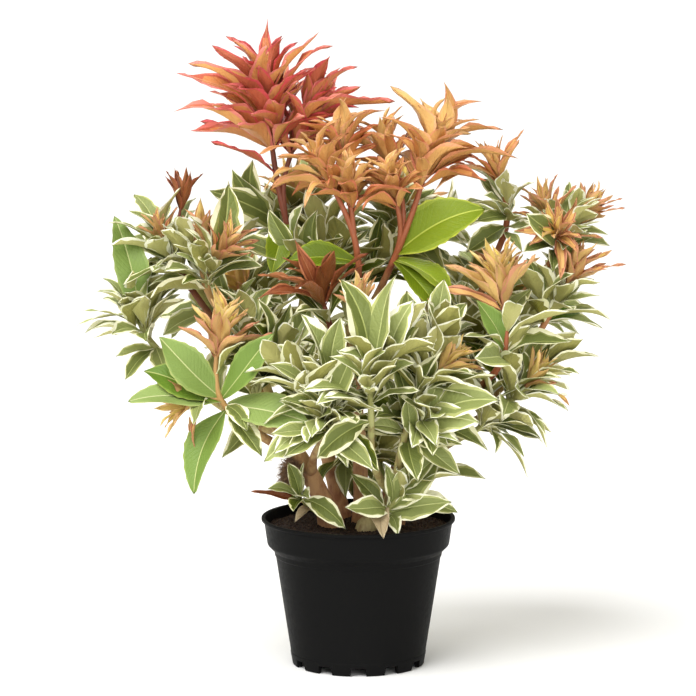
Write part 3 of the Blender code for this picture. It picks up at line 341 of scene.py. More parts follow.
Aimed = namedtuple("Aimed", "mass shoot at kind tip face", defaults=(0,))
AIMED = (
    Aimed("leaves_crown_red", 0, 0.99, "red", (-88, 30, 632)),
    Aimed("leaves_crown_red", 0, 0.96, "red", (-38, 28, 619)),
    Aimed("leaves_crown_red", 0, 0.92, "red", (-24, 5, 607)),
    Aimed("leaves_crown_red", 0, 0.97, "red", (-129, 25, 615)),
    Aimed("leaves_crown_red", 0, 0.93, "red", (-141, -12, 609)),
    Aimed("leaves_crown_red", 0, 0.88, "red", (-164, -6, 591)),
    Aimed("leaves_crown_red", 0, 0.80, "red", (-177, 15, 580)),
    Aimed("leaves_crown_red", 0, 0.66, "red", (-178, -25, 546)),
    Aimed("leaves_crown_red", 0, 0.46, "slim", (-143, 0, 515)),
    Aimed("leaves_crown_red", 1, 0.96, "red", (0, 40, 584)),
    Aimed("leaves_crown_red", 1, 0.90, "red", (36, 20, 552)),
    Aimed("leaves_crown_tan_left", 0, 0.96, "arched", (-96, -60, 508)),
    Aimed("leaves_crown_tan_left", 0, 0.90, "arched", (-92, -66, 473)),
    Aimed("leaves_crown_tan_left", 0, 0.84, "arched", (-52, -84, 459)),
    Aimed("leaves_crown_tan_right", 0, 0.90, "tan", (30, -24, 571)),
    Aimed("leaves_crown_tan_right", 0, 0.99, "tan", (82, -10, 574)),
    Aimed("leaves_crown_tan_right", 0, 0.96, "tan", (120, 0, 554)),
    Aimed("leaves_crown_tan_right", 0, 0.84, "tan", (141, 12, 525)),
    Aimed("leaves_crown_tan_right", 0, 0.76, "tan", (154, -26, 501)),
    Aimed("leaves_right_slim", 0, 0.98, "slim", (161, 20, 525)),
    Aimed("leaves_right_slim", 0, 0.94, "arched", (71, -22, 466)),
    Aimed("leaves_right_top", 1, 0.98, "bronze", (257, 14, 458)),
    Aimed("leaves_right_top", 2, 0.80, "slim", (237, -18, 423)),
    Aimed("leaves_right_bronze", 0, 0.92, "bronze", (81, -76, 405)),
    Aimed("leaves_right_bronze", 0, 0.34, "plain", (112, -84, 372), 1.6),
    Aimed("leaves_right_reach", 0, 0.96, "bronze", (259, -20, 398)),
    Aimed("leaves_right_reach", 0, 0.30, "plain", (219, 6, 350), 1.0),
    Aimed("leaves_right_low", 0, 0.94, "bronze", (203, -66, 266)),
    Aimed("leaves_right_low", 1, 0.80, "old", (234, -22, 308)),
    Aimed("leaves_right_low", 1, 0.90, "old", (217, -36, 327)),
    Aimed("leaves_right_under", 0, 0.96, "old", (187, -40, 236)),
    Aimed("leaves_right_under", 0, 0.70, "old", (131, -76, 222)),
    Aimed("leaves_left_bronze", 0, 0.30, "plain", (-190, -92, 338), 1.6),
    Aimed("leaves_left_bronze", 0, 0.16, "plain", (-220, -96, 276), 1.0),
    Aimed("leaves_left_bronze", 0, 0.24, "plain", (-80, -96, 342), 1.6),
    Aimed("leaves_left_bronze", 0, 0.10, "plain", (-47, -116, 259), 1.4),
    Aimed("leaves_left_bronze", 0, 0.06, "plain", (-157, -106, 188), 1.2),
    Aimed("leaves_left_far", 0, 0.90, "old", (-278, -6, 334)),
    Aimed("leaves_left_far", 0, 0.70, "plain", (-238, 22, 440), 0.5),
    Aimed("leaves_left_edge", 0, 0.70, "old", (-223, 6, 447)),
    Aimed("leaves_left_edge", 0, 0.55, "old", (-241, -10, 415)),
    Aimed("leaves_crown_tan_right", 0, 0.08, "plain", (122, -32, 453), 1.2),
    Aimed("leaves_crown_tan_right", 0, 0.03, "plain", (92, -44, 366), 1.2),
    Aimed("leaves_front_middle", 0, 0.52, "old", (-17, -112, 396), 1.0),
    Aimed("leaves_front_middle", 0, 0.46, "old", (36, -116, 401), 1.0),
    Aimed("leaves_front_low", 0, 0.90, "old", (134, -126, 282), 0.6),
    Aimed("leaves_front_low", 0, 0.70, "old", (115, -128, 261), 0.8),
    Aimed("leaves_front_low", 0, 0.55, "old", (96, -124, 242), 0.8),
    Aimed("leaves_inner_dark", 0, 0.98, "dark", (-61, -78, 430), 1.0),
    Aimed("leaves_inner_dark", 0, 0.94, "dark", (-76, -86, 396), 0.6),
    Aimed("leaves_inner_dark", 0, 0.90, "dark", (-98, -88, 372), 0.6),
    Aimed("leaves_foot_front", 0, 0.90, "old", (123, -70, 196)),
    Aimed("leaves_foot_front", 0, 0.60, "old", (96, -64, 162), 0.4),
    Aimed("leaves_foot_front", 0, 0.50, "old", (-13, -98, 174), 1.4),
    Aimed("leaves_foot_front", 0, 0.40, "old", (38, -80, 143), 1.0),
    Aimed("leaves_foot_left", 0, 0.70, "slim", (-105, -36, 178)),
    Aimed("leaves_foot_left", 0, 0.90, "old", (-12, -60, 145), 1.2),
    Aimed("leaves_left_middle", 0, 0.03, "old", (-132, -50, 213), 0.8),
    Aimed("leaves_front_left", 0, 0.10, "old", (-90, -125, 223), 1.0),
    Aimed("leaves_front_left", 0, 0.50, "old", (-70, -130, 229), 1.0),
    Aimed("leaves_front_left", 0, 0.30, "old", (-10, -125, 217), 1.0),
    Aimed("leaves_front_middle", 0, 0.02, "old", (-40, -120, 225), 1.0),
    Aimed("leaves_front_left", 2, 0.60, "old", (-85, -125, 317), 1.0),
    Aimed("leaves_front_left", 1, 0.35, "old", (-58, -125, 292), 0.8),
    Aimed("leaves_front_left", 1, 0.60, "old", (-6, -125, 333), 1.0),
    Aimed("leaves_front_left", 1, 0.90, "old", (-55, -112, 363), 1.0),
    Aimed("leaves_front_left", 1, 0.95, "old", (-17, -112, 360), 0.8),
    Aimed("leaves_front_middle", 1, 0.75, "old", (52, -125, 378), 0.8),
    Aimed("leaves_front_right", 1, 0.50, "old", (65, -118, 377), 0.8),
    Aimed("leaves_front_right", 0, 0.20, "old", (79, -118, 329), 0.8),
    Aimed("leaves_front_low", 0, 0.25, "old", (99, -105, 236), 0.6),
    Aimed("leaves_foot_front", 0, 0.98, "old", (78, -70, 220), 0.5),
    Aimed("leaves_foot_front", 0, 0.80, "old", (84, -72, 191), 0.3),
    Aimed("leaves_foot_front", 0, 0.95, "old", (25, -75, 218), 0.8),
)

# The dry knot of twigs held against the left trunk

KNOT_TRUNK = "trunk_left"
KNOT_AT = 0.53
KNOT_SIDE = (-1, -0.55, 0)
KNOT_SIZE = (11, 9, 16)
KNOT_OUT = 0.9
KNOT_ROUGHNESS = 0.24

# Finer growth of the looks: more leaves in a rosette (how many for each one in the
# solids, their length and how much closer to the twig) and side shoots of old leaves

Fill = namedtuple("Fill", "count length lean")
FILLS = {
    "red": Fill(2.3, 0.88, -12),
    "tan": Fill(1.9, 0.88, -10),
    "bronze": Fill(1.5, 0.88, -14),
    "dark": Fill(1.0, 0.80, -10),
    "slim": Fill(0.8, 0.90, -8),
    "old": Fill(1.0, 0.94, -14),
}
SLIMMEST = 4.0
BARE_BELOW = ("red", "tan", "slim")
BARE_MASSES = ("leaves_front_middle", "leaves_foot_left", "leaves_foot_front",
               "leaves_right_bronze", "leaves_left_bronze", "leaves_inner_dark")
SIDE_STRETCH = (0.12, 0.68)
BARE_NECK = 0.12
SIDE_LEAN = 48.0
SIDE_LENGTH = 26.0
SIDE_LIFT = 0.9
SIDE_RADIUS = 1.2
SIDE_LEAVES = 5
SIDE_LEAF = 1.02
SIDE_ANGLES = (58, 18)
FINE_FULLNESS = 0.95
BOX_MARGIN = 0.002
EDGE_ZONE = 0.010

MORE_AIMED = (
    Aimed("leaves_crown_red", 0, 0.06, "plain", (-84, -8, 387), 1.2),
    Aimed("leaves_crown_tan_left", 0, 0.04, "plain", (-70, -34, 402), 1.2),
    Aimed("leaves_front_low", 0, 0.72, "old", (124, -96, 228), 0.6),
    Aimed("leaves_front_right", 0, 0.30, "old", (131, -98, 302), 0.8),
    Aimed("leaves_front_middle", 1, 0.60, "old", (-20, -128, 330), 1.0),
    Aimed("leaves_foot_front", 0, 0.15, "dry", (24, -102, 143), 0.6),
    Aimed("leaves_foot_left", 0, 0.06, "dry", (-62, -42, 148), 1.0),
    Aimed("leaves_left_bronze", 0, 0.04, "old", (-92, -104, 224), 1.2),
    Aimed("leaves_left_bronze", 0, 0.12, "old", (-106, -112, 250), 1.2),
    Aimed("leaves_foot_back", 0, 0.90, "old", (-12, 44, 156), 0.8),
    Aimed("leaves_foot_back", 0, 0.80, "old", (-38, 46, 168), 0.8),
    Aimed("leaves_foot_back", 1, 0.90, "old", (10, 44, 160), 0.8),
    Aimed("leaves_foot_back", 1, 0.80, "old", (56, 44, 168), 0.8),
    Aimed("leaves_right_slim", 0, 0.40, "old", (112, -24, 440), 0.8),
    Aimed("leaves_right_slim", 0, 0.30, "old", (150, -30, 446), 1.0),
    Aimed("leaves_right_slim", 0, 0.22, "old", (104, -10, 408), 0.8),
    Aimed("leaves_right_slim", 0, 0.16, "old", (170, -14, 430), 0.8),
    Aimed("leaves_right_top", 2, 0.50, "old", (160, -44, 452), 0.8),
    Aimed("leaves_back_top", 1, 0.90, "old", (-140, 66, 488), 1.0),
    Aimed("leaves_back_top", 1, 0.80, "old", (-124, 56, 482), 1.0),
    Aimed("leaves_back_top", 1, 0.95, "old", (-104, 70, 490), 0.8),
    Aimed("leaves_back_top", 1, 0.70, "old", (-146, 60, 462), 1.2),
    Aimed("leaves_back_top", 0, 0.60, "old", (-92, 64, 478), 0.8),
    Aimed("leaves_front_right", 1, 0.90, "old", (62, -56, 392), 0.8),
    Aimed("leaves_front_right", 1, 0.95, "old", (82, -54, 388), 0.8),
    Aimed("leaves_crown_tan_right", 0, 0.02, "plain", (78, -52, 356), 1.2),
    Aimed("leaves_left_far", 0, 0.03, "old", (-236, -10, 306), 0.6),
    Aimed("leaves_left_far", 0, 0.02, "old", (-226, -28, 286), 0.8),
    Aimed("leaves_left_far", 0, 0.05, "old", (-186, -42, 290), 0.8),
    Aimed("leaves_left_bronze", 0, 0.20, "plain", (-206, -74, 302), 1.4),
    Aimed("leaves_foot_back", 0, 0.95, "old", (4, 50, 170), 1.0),
    Aimed("leaves_foot_back", 0, 0.70, "old", (-24, 52, 188), 1.0),
    Aimed("leaves_foot_back", 1, 0.70, "old", (28, 52, 152), 1.0),
    Aimed("leaves_foot_back", 0, 0.60, "old", (-4, 60, 150), 1.0),
    Aimed("leaves_foot_back", 0, 0.50, "old", (-44, 58, 180), 1.0),
    Aimed("leaves_foot_back", 1, 0.50, "old", (16, 60, 150), 1.0),
    Aimed("leaves_foot_front", 0, 0.60, "old", (25, -60, 212), 1.2),
    Aimed("leaves_foot_front", 0, 0.80, "old", (120, -72, 207), 1.2),
    Aimed("leaves_foot_front", 0, 0.50, "old", (80, -50, 219), 1.2),
    Aimed("leaves_foot_front", 0, 0.40, "old", (-8, -40, 196), 1.2),
    Aimed("leaves_foot_front", 0, 0.30, "old", (90, -76, 176), 1.0),
    Aimed("leaves_front_middle", 1, 0.85, "old", (46, -64, 380), 1.0),
    Aimed("leaves_front_right", 1, 0.60, "old", (54, -58, 366), 1.0),
    Aimed("leaves_right_slim", 0, 0.10, "old", (158, -20, 410), 1.0),
    Aimed("leaves_left_top", 1, 0.60, "old", (-140, -4, 486), 1.2),
    Aimed("leaves_left_top", 1, 0.80, "old", (-126, 2, 474), 1.0),
    Aimed("leaves_left_far", 0, 0.10, "plain", (-248, -30, 424), 1.3),
)

# Looks of the leaves. An outline gives where a leaf is widest, how blunt its ends are,
# the inner edge of its margin and how ragged that is, the midrib, waves, teeth, the
# most that a streaked zone takes of the blade beside the margin, the share of its length
# from which the tip takes the streak colour, segments along it and its thickness

Outline = namedtuple(
    "Outline", "widest blunt margin ragged rib wave waves teeth zone flush segments thick"
)
OUTLINES = {
    "young": Outline(0.46, 1.15, 0.82, 0.7, 0.06, 0.030, 2.0, 0.0, 0.60, 0.72, 11, 0.012),
    "old": Outline(0.54, 0.90, 0.84, 0.9, 0.04, 0.024, 1.7, 0.020, 0.45, 0.0, 12, 0.010),
    "plain": Outline(0.52, 0.85, 0.95, 0.3, 0.030, 0.026, 1.4, 0.035, 0.25, 0.0, 19, 0.008),
}
PARTS = ("blade", "streak", "margin", "midrib", "under")
TOP_PARTS = ("margin", "streak", "blade", "midrib", "blade", "streak", "margin")
EVEN_ROWS = 0.7
UNDER_PARTS = ("margin", "under", "under", "margin")
PATTERN_COUNT = 6
MARGIN_SPREAD = (0.55, 1.45)
TOOTHED_FROM = 0.35

# How each kind of leaf hangs: its width and bend against the rule's, how far the bend is
# skewed to the tip, how far the tip hooks, its sideways bow, twist and fold

Habit = namedtuple("Habit", "broad arch droop hook sway twist fold")
HABITS = {
    "red": Habit(1.28, 1.5, 0.50, 0.060, 0.08, 0.9, 0.55),
    "tan": Habit(1.20, 1.5, 0.55, 0.055, 0.08, 0.8, 0.52),
    "bronze": Habit(1.00, 1.4, 0.40, 0.055, 0.09, 0.8, 0.60),
    "dark": Habit(1.30, 1.3, 0.35, 0.045, 0.07, 0.6, 0.46),
    "slim": Habit(1.45, 1.1, 0.20, 0.025, 0.05, 0.5, 0.55),
    "arched": Habit(1.35, 1.0, 0.30, 0.010, 0.03, 0.3, 0.44),
    "old": Habit(1.24, 1.4, 0.35, 0.040, 0.08, 0.6, 0.36),
    "plain": Habit(1.12, 1.3, 0.20, 0.030, 0.06, 0.4, 0.28),
    "fresh": Habit(1.30, 1.8, 0.10, 0.015, 0.06, 0.3, 0.34),
    "dry": Habit(1.00, 1.3, 0.20, 0.050, 0.12, 1.2, 0.60),
}
AGED = ("tan", "bronze", "slim")
# Middle and half sizes of the crown. Old leaves deep in it take the darker end of their paint, partly
# for age and partly as painted shade.
HEART = Vector((-10, 20, 320))
HEART_SIZE = (250, 180, 230)
LONG_LEAF = 98.0

# Two ends of colour for each part of a leaf, its outline, gloss and veins

Paint = namedtuple("Paint", "blade streak margin midrib under outline gloss veins depth")
PAINTS = {
    "red": Paint(((0.74, 0.350, 0.120), (0.50, 0.125, 0.055)),
                 ((0.62, 0.170, 0.095), (0.32, 0.050, 0.032)),
                 ((0.80, 0.270, 0.210), (0.62, 0.095, 0.100)),
                 ((0.84, 0.460, 0.220), (0.66, 0.210, 0.140)),
                 ((0.76, 0.390, 0.130), (0.50, 0.130, 0.065)), "young", 0.42, 8.0, 0.0004),
    "tan": Paint(((0.78, 0.510, 0.170), (0.52, 0.220, 0.060)),
                 ((0.66, 0.330, 0.110), (0.36, 0.105, 0.032)),
                 ((0.80, 0.500, 0.230), (0.62, 0.200, 0.100)),
                 ((0.86, 0.620, 0.240), (0.68, 0.340, 0.110)),
                 ((0.78, 0.510, 0.180), (0.54, 0.240, 0.070)), "young", 0.42, 8.0, 0.0004),
    "bronze": Paint(((0.80, 0.660, 0.130), (0.66, 0.390, 0.130)),
                    ((0.56, 0.310, 0.110), (0.34, 0.120, 0.055)),
                    ((0.80, 0.580, 0.240), (0.60, 0.270, 0.150)),
                    ((0.84, 0.680, 0.200), (0.66, 0.390, 0.160)),
                    ((0.74, 0.560, 0.160), (0.58, 0.340, 0.130)), "young", 0.44, 7.0, 0.0003),
    "dark": Paint(((0.30, 0.088, 0.032), (0.17, 0.046, 0.015)),
                  ((0.22, 0.055, 0.020), (0.11, 0.024, 0.008)),
                  ((0.46, 0.180, 0.075), (0.30, 0.085, 0.035)),
                  ((0.44, 0.180, 0.075), (0.30, 0.100, 0.040)),
                  ((0.38, 0.150, 0.050), (0.24, 0.078, 0.024)), "young", 0.40, 8.0, 0.0004),
    # The second ends are the darker ones; old leaves deep in the crown take them, partly as painted
    # shade.
    "old": Paint(((0.310, 0.352, 0.120), (0.070, 0.096, 0.006)),
                 ((0.530, 0.555, 0.225), (0.160, 0.182, 0.020)),
                 ((0.975, 0.970, 0.780), (0.900, 0.880, 0.540)),
                 ((0.600, 0.640, 0.290), (0.300, 0.340, 0.065)),
                 ((0.545, 0.520, 0.205), (0.240, 0.228, 0.040)), "old", 0.46, 9.0, 0.0004),
    "plain": Paint(((0.255, 0.345, 0.098), (0.112, 0.200, 0.020)),
                   ((0.310, 0.400, 0.130), (0.155, 0.255, 0.036)),
                   ((0.420, 0.470, 0.160), (0.250, 0.320, 0.060)),
                   ((0.560, 0.600, 0.290), (0.420, 0.470, 0.150)),
                   ((0.450, 0.470, 0.200), (0.340, 0.360, 0.110)), "plain", 0.42, 17.0, 0.0003),
    "fresh": Paint(((0.210, 0.285, 0.013), (0.105, 0.155, 0.004)),
                   ((0.270, 0.345, 0.030), (0.150, 0.210, 0.010)),
                   ((0.440, 0.480, 0.060), (0.300, 0.360, 0.024)),
                   ((0.440, 0.500, 0.080), (0.320, 0.390, 0.040)),
                   ((0.360, 0.400, 0.060), (0.280, 0.340, 0.030)), "plain", 0.40, 17.0, 0.0003),
    "dry": Paint(((0.46, 0.360, 0.220), (0.34, 0.250, 0.150)),
                 ((0.40, 0.300, 0.180), (0.30, 0.200, 0.120)),
                 ((0.56, 0.460, 0.300), (0.42, 0.320, 0.200)),
                 ((0.52, 0.420, 0.270), (0.40, 0.300, 0.190)),
                 ((0.50, 0.400, 0.260), (0.38, 0.290, 0.180)), "old", 0.70, 9.0, 0.0006),
}
YOUNG_PAINTS = ("red", "tan", "bronze", "dark")
GROWN_PAINTS = ("old", "plain", "fresh", "dry")
FRESH_MASSES = ("leaves_crown_red", "leaves_crown_tan_left", "leaves_crown_tan_right")
ORANGE_MASSES = ("leaves_right_slim",)
PINK_MASSES = ("leaves_left_top", "leaves_left_edge", "leaves_right_top", "leaves_right_reach")
PINK_SHIFT = 0.35
GREEN_TRUNKS = ("trunk_front",)
GREENING = 3.0
FRONT_GREENING = 0.6
TINTS = 4
LEAVES_A_PIECE = 780
LEAF_SPECULAR = 0.25
GLOSS_SPREAD = 0.07

# Twigs: whose stems take which colour

TWIG_COLOURS = ("maroon", "red", "orange", "brown", "green")
TWIG_PAINT = {
    "leaves_crown_red": "maroon",
    "leaves_crown_tan_left": "red",
    "leaves_crown_tan_right": "red",
    "leaves_right_slim": "red",
    "leaves_right_top": "orange",
    "leaves_right_bronze": "red",
    "leaves_right_reach": "orange",
    "leaves_inner_dark": "maroon",
    "leaves_left_bronze": "brown",
    "leaves_left_top": "brown",
    "leaves_left_edge": "maroon",
}
TWIG_POINT = 0.45
SIDE_TAPER = (1.0, 1.0, 0.9, 0.6)
TWIG_ROUND_SIDES = 8
TWIG_SPACING = 0.003
LIMB_SIDES = 22
LIMB_SPACING = 0.0022
ROOT_DEPTH = 6.0
ROOT_SWELL = 1.0
COLLAR = 1.3

# Pot, soil and knot: how finely they are turned and strewn

POT_STEPS = 144
ROUND_STEPS = 3
DRAIN_STEPS = 20
SHARP_ANGLE = 32.0
SOIL_RINGS = 40
SOIL_STEPS = 120
SOIL_WAVES = 9
FIBRE_STEPS = 4
FIBRE_THICKNESS = 0.045
SENSOR = 36.0


# The rule of the solids: limbs


def bent_path(foot, heading, tip, rings):
    """Points of a limb that sets out along the heading and bends over to its tip."""
    knee = foot + heading.normalized() * (tip - foot).length * KNEE
    path = []
    for ring in range(rings):
        t = ring / (rings - 1)
        path.append(foot * (1 - t) ** 2 + knee * 2 * t * (1 - t) + tip * t * t)
    return path


def directions(path):
    """Direction of travel at each point of a path."""
    last = len(path) - 1
    return [(path[min(i + 1, last)] - path[max(i - 1, 0)]).normalized() for i in range(last + 1)]


def tube(path, radii, sides, cut=None):
    """A limb with flat ends. The foot is cut square, or parallel to a given plane."""
    travel = directions(path)
    across = travel[0].cross(SIDEWAYS).normalized()
    points = []
    for ring, (centre, along, radius) in enumerate(zip(path, travel, radii)):
        across = (across - along * across.dot(along)).normalized()
        other = along.cross(across)
        for side in range(sides):
            angle = math.tau * side / sides
            point = centre + (across * math.cos(angle) + other * math.sin(angle)) * radius
            if ring == 0 and cut is not None:
                point = point - along * (point - centre).dot(cut) / along.dot(cut)
            points.append(point)
    faces = []
    for ring in range(len(path) - 1):
        for side in range(sides):
            a, b = ring * sides + side, ring * sides + (side + 1) % sides
            faces.append((a, b, b + sides, a + sides))
    faces.append(tuple(reversed(range(sides))))
    faces.append(tuple(range(len(points) - sides, len(points))))
    return points, faces


class Limb:
    """A trunk, bough or twig: its path, its radii and its surface."""

    def __init__(self, path, radii, sides, cut=None):
        self.path = path
        self.radii = radii
        self.surface = tube(path, radii, sides, cut)

    def length(self):
        return sum((b - a).length for a, b in zip(self.path, self.path[1:]))

    def stretch(self, share):
        """The ring below a share of the way along, and how far past it that is."""
        steps = share * (len(self.path) - 1)
        low = min(int(steps), len(self.path) - 2)
        return low, steps - low

    def place(self, share):
        """Point, direction and radius at a share of the way along."""
        low, t = self.stretch(share)
        point = self.path[low].lerp(self.path[low + 1], t)
        along = (self.path[low + 1] - self.path[low]).normalized()
        return point, along, self.radii[low] * (1 - t) + self.radii[low + 1] * t

    def tip(self):
        """Where the next limb starts, clear of this one's flat end."""
        along = (self.path[-1] - self.path[-2]).normalized()
        return self.path[-1] + along * GAP, along

    def side(self, share, towards):
        """Where a limb leaves the side, clear of the bark, and the way out of it."""
        point, along, _ = self.place(share)
        out = towards - point
        out = (out - along * out.dot(along)).normalized()
        low, t = self.stretch(share)
        sides = len(self.surface[0]) // len(self.path)
        corners = self.surface[0][low * sides:(low + 2) * sides]
        ring = [a.lerp(b, t) for a, b in zip(corners[:sides], corners[sides:])]
        bark = max((corner - point).dot(out) for corner in ring)
        return point + out * (bark + SEAT), out, along


def grow_trunk(trunk):
    foot = Vector((*trunk.foot, SOIL_TOP + GAP))
    path = bent_path(foot, Vector(trunk.heading), Vector(trunk.tip), TRUNK_RINGS)
    path.insert(1, foot.lerp(path[1], FLARE_RING))
    radii = []
    for point in path:
        share = (point - foot).length / (path[-1] - foot).length
        flare = 1 + FLARE * math.exp(-share / FLARE_LENGTH)
        radii.append((trunk.foot_radius * (1 - share) + trunk.tip_radius * share) * flare)
    return Limb(path, radii, TRUNK_SIDES, Vector((0, 0, 1)))


def grow_bough(bough, trunk):
    tip = Vector(bough.tip)
    foot, out, along = trunk.side(bough.at, tip)
    heading = out + along * bough.rise
    path = bent_path(foot, heading, tip, BOUGH_RINGS)
    radii = []
    for ring in range(BOUGH_RINGS):
        share = ring / (BOUGH_RINGS - 1)
        radii.append(bough.foot_radius * (1 - share) + bough.tip_radius * share)
    return Limb(path, radii, BOUGH_SIDES, out)


def knot_middle(trunk):
    """Centre of the dry knot beside its trunk."""
    point, _, radius = trunk.place(KNOT_AT)
    return point + Vector(KNOT_SIDE).normalized() * (radius + KNOT_SIZE[0] * KNOT_OUT)


def knot_body(trunk):
    """The rough ball that leaves keep clear of."""
    rng = random.Random(SEED)
    ball = bmesh.new()
    bmesh.ops.create_icosphere(ball, subdivisions=2, radius=1)
    centre = knot_middle(trunk)
    points = []
    for vertex in ball.verts:
        swell = 1 + rng.uniform(-KNOT_ROUGHNESS, KNOT_ROUGHNESS)
        points.append(centre + vertex.co * Vector(KNOT_SIZE) * swell)
    faces = [tuple(vertex.index for vertex in face.verts) for face in ball.faces]
    ball.free()
    return Body("dry_knot", (points, faces))


# The rule of the solids: leaves


Leaf = namedtuple("Leaf", "kind root tip up width bend mass age", defaults=("", 0.5))


def aim_leaf(kind, root, tip, axis, rng, face=0):
    """A leaf from root to tip, its upper side turned to the twig's axis or to the front."""
    along = (tip - root).normalized()
    root = root - along * (ROOT_SUNK + ROOT_SUNK_ALONG * max(0, along.dot(axis)) ** 4)
    chord = tip - root
    up = axis + Vector((0, -face, SKY_PULL))
    up = up - chord * up.dot(chord) / chord.length_squared
    side = chord.normalized().cross(up.normalized())
    up = up.normalized() + side * rng.uniform(-ROLL, ROLL)
    shape = KINDS[kind]
    return Leaf(kind, root, tip, up, shape.width * chord.length, math.radians(shape.bend))


def spread_leaf(kind, root, axis, azimuth, angle, length, rng):
    """A leaf that leaves the twig at an angle to its axis and bends outwards."""
    out = around(axis, azimuth)
    lean = angle + math.radians(KINDS[kind].bend) * BEND_LEAN
    heading = axis * math.cos(lean) + out * math.sin(lean) + Vector((0, 0, LEAF_LIFT))
    return aim_leaf(kind, root, root + heading.normalized() * length, axis, rng)


def around(axis, azimuth):
    """The way out from an axis at an azimuth round it."""
    across = axis.cross(SKEWED).normalized()
    return across * math.cos(azimuth) + axis.cross(across) * math.sin(azimuth)


def leaf_solid(leaf, start=0.0, grow=0.0, fullness=LEAF_FULLNESS):
    """A leaf with a keel: five corners and six faces, from a share of its length on."""
    chord = leaf.tip - leaf.root
    length = chord.length
    along = chord / length
    up = (leaf.up - along * leaf.up.dot(along)).normalized()
    side = along.cross(up)
    rise = length * math.tan(leaf.bend / 4) / 2
    middle = leaf.root + chord * LEAF_WIDEST + up * rise
    root = leaf.root.lerp(middle, start / LEAF_WIDEST)
    half = leaf.width * fullness / 2 + grow
    thick = length * LEAF_THICKNESS * min(1, fullness) + grow
    points = [
        root - along * grow,
        middle + side * half + up * grow,
        middle - side * half + up * grow,
        middle - up * thick,
        leaf.tip + along * grow,
    ]
    faces = [(0, 2, 1), (0, 3, 2), (0, 1, 3), (4, 1, 2), (4, 2, 3), (4, 3, 1)]
    return points, faces


# The rule of the solids: growth of the masses


class Body:
    """A surface that others keep clear of, with the ball that holds it."""

    def __init__(self, owner, surface):
        points, faces = surface
        self.owner = owner
        self.centre = sum(points, Vector()) / len(points)
        self.radius = max((point - self.centre).length for point in points)
        self.tree = BVHTree.FromPolygons(points, faces)


class Shelf:
    """Bodies set so far. The balls that hold them are compared first, all at once."""

    def __init__(self, bodies=()):
        self.bodies = []
        self.balls = np.zeros((64, 4))
        for body in bodies:
            self.add(body)

    def add(self, body):
        if len(self.bodies) == len(self.balls):
            self.balls = np.vstack([self.balls, np.zeros_like(self.balls)])
        self.balls[len(self.bodies)] = (*body.centre, body.radius)
        self.bodies.append(body)

    def met_by(self, body, counts=lambda owner: True):
        """Whether a body touches one of these whose owner counts."""
        balls = self.balls[:len(self.bodies)]
        apart = np.linalg.norm(balls[:, :3] - np.array(body.centre), axis=1)
        for number in np.nonzero(apart <= balls[:, 3] + body.radius)[0]:
            other = self.bodies[number]
            if counts(other.owner) and body.tree.overlap(other.tree):
                return True
        return False


class Crown:
    """The limbs and leaves set so far."""

    def __init__(self, limbs):
        self.limbs = Shelf(limbs)
        self.twigs = Shelf()
        self.leaves = Shelf()
        self.blades = Shelf()
        self.fine = Shelf()

    @staticmethod
    def in_space(leaf, heart, reach):
        tip = leaf.tip
        if (tip - heart).length > reach or tip.z > CROWN_TOP:
            return False
        aside, above = POT_CLEARANCE
        return tip.z >= SOIL_TOP + above or math.hypot(tip.x, tip.y) >= LIP_RADIUS + aside

    def allows(self, owner, leaf, heart, reach):
        """Whether a leaf of the solids stays in its space and touches nothing it shouldn't."""
        if not self.in_space(leaf, heart, reach):
            return False
        solid = Body(owner, leaf_solid(leaf, 0, TOUCH))
        if self.limbs.met_by(solid) or self.twigs.met_by(solid, lambda other: other != owner):
            return False
        if self.leaves.met_by(solid, lambda other: other != owner):
            return False
        blade = Body(owner, leaf_solid(leaf, LEAF_OUTER))
        if self.blades.met_by(blade, lambda other: other == owner):
            return False
        self.leaves.add(Body(owner, leaf_solid(leaf)))
        self.blades.add(blade)
        self.fine.add(Body(owner, leaf_solid(leaf, LEAF_OUTER, 0, FINE_FULLNESS)))
        return True

    def admits(self, owner, leaf, heart, reach):
        """Whether an added leaf stays in the box and its blade is clear of all others."""
        if not self.in_space(leaf, heart, reach) or not inside_box(leaf.tip):
            return False
        blade = Body(owner, leaf_solid(leaf, LEAF_OUTER, 0, FINE_FULLNESS))
        if self.limbs.met_by(blade) or self.twigs.met_by(blade) or self.fine.met_by(blade):
            return False
        self.fine.add(blade)
        return True


def inside_box(point, margin=BOX_MARGIN):
    low, high = CAD_BOX
    return all(a + margin < value * MM < b - margin for a, value, b in zip(low, point, high))


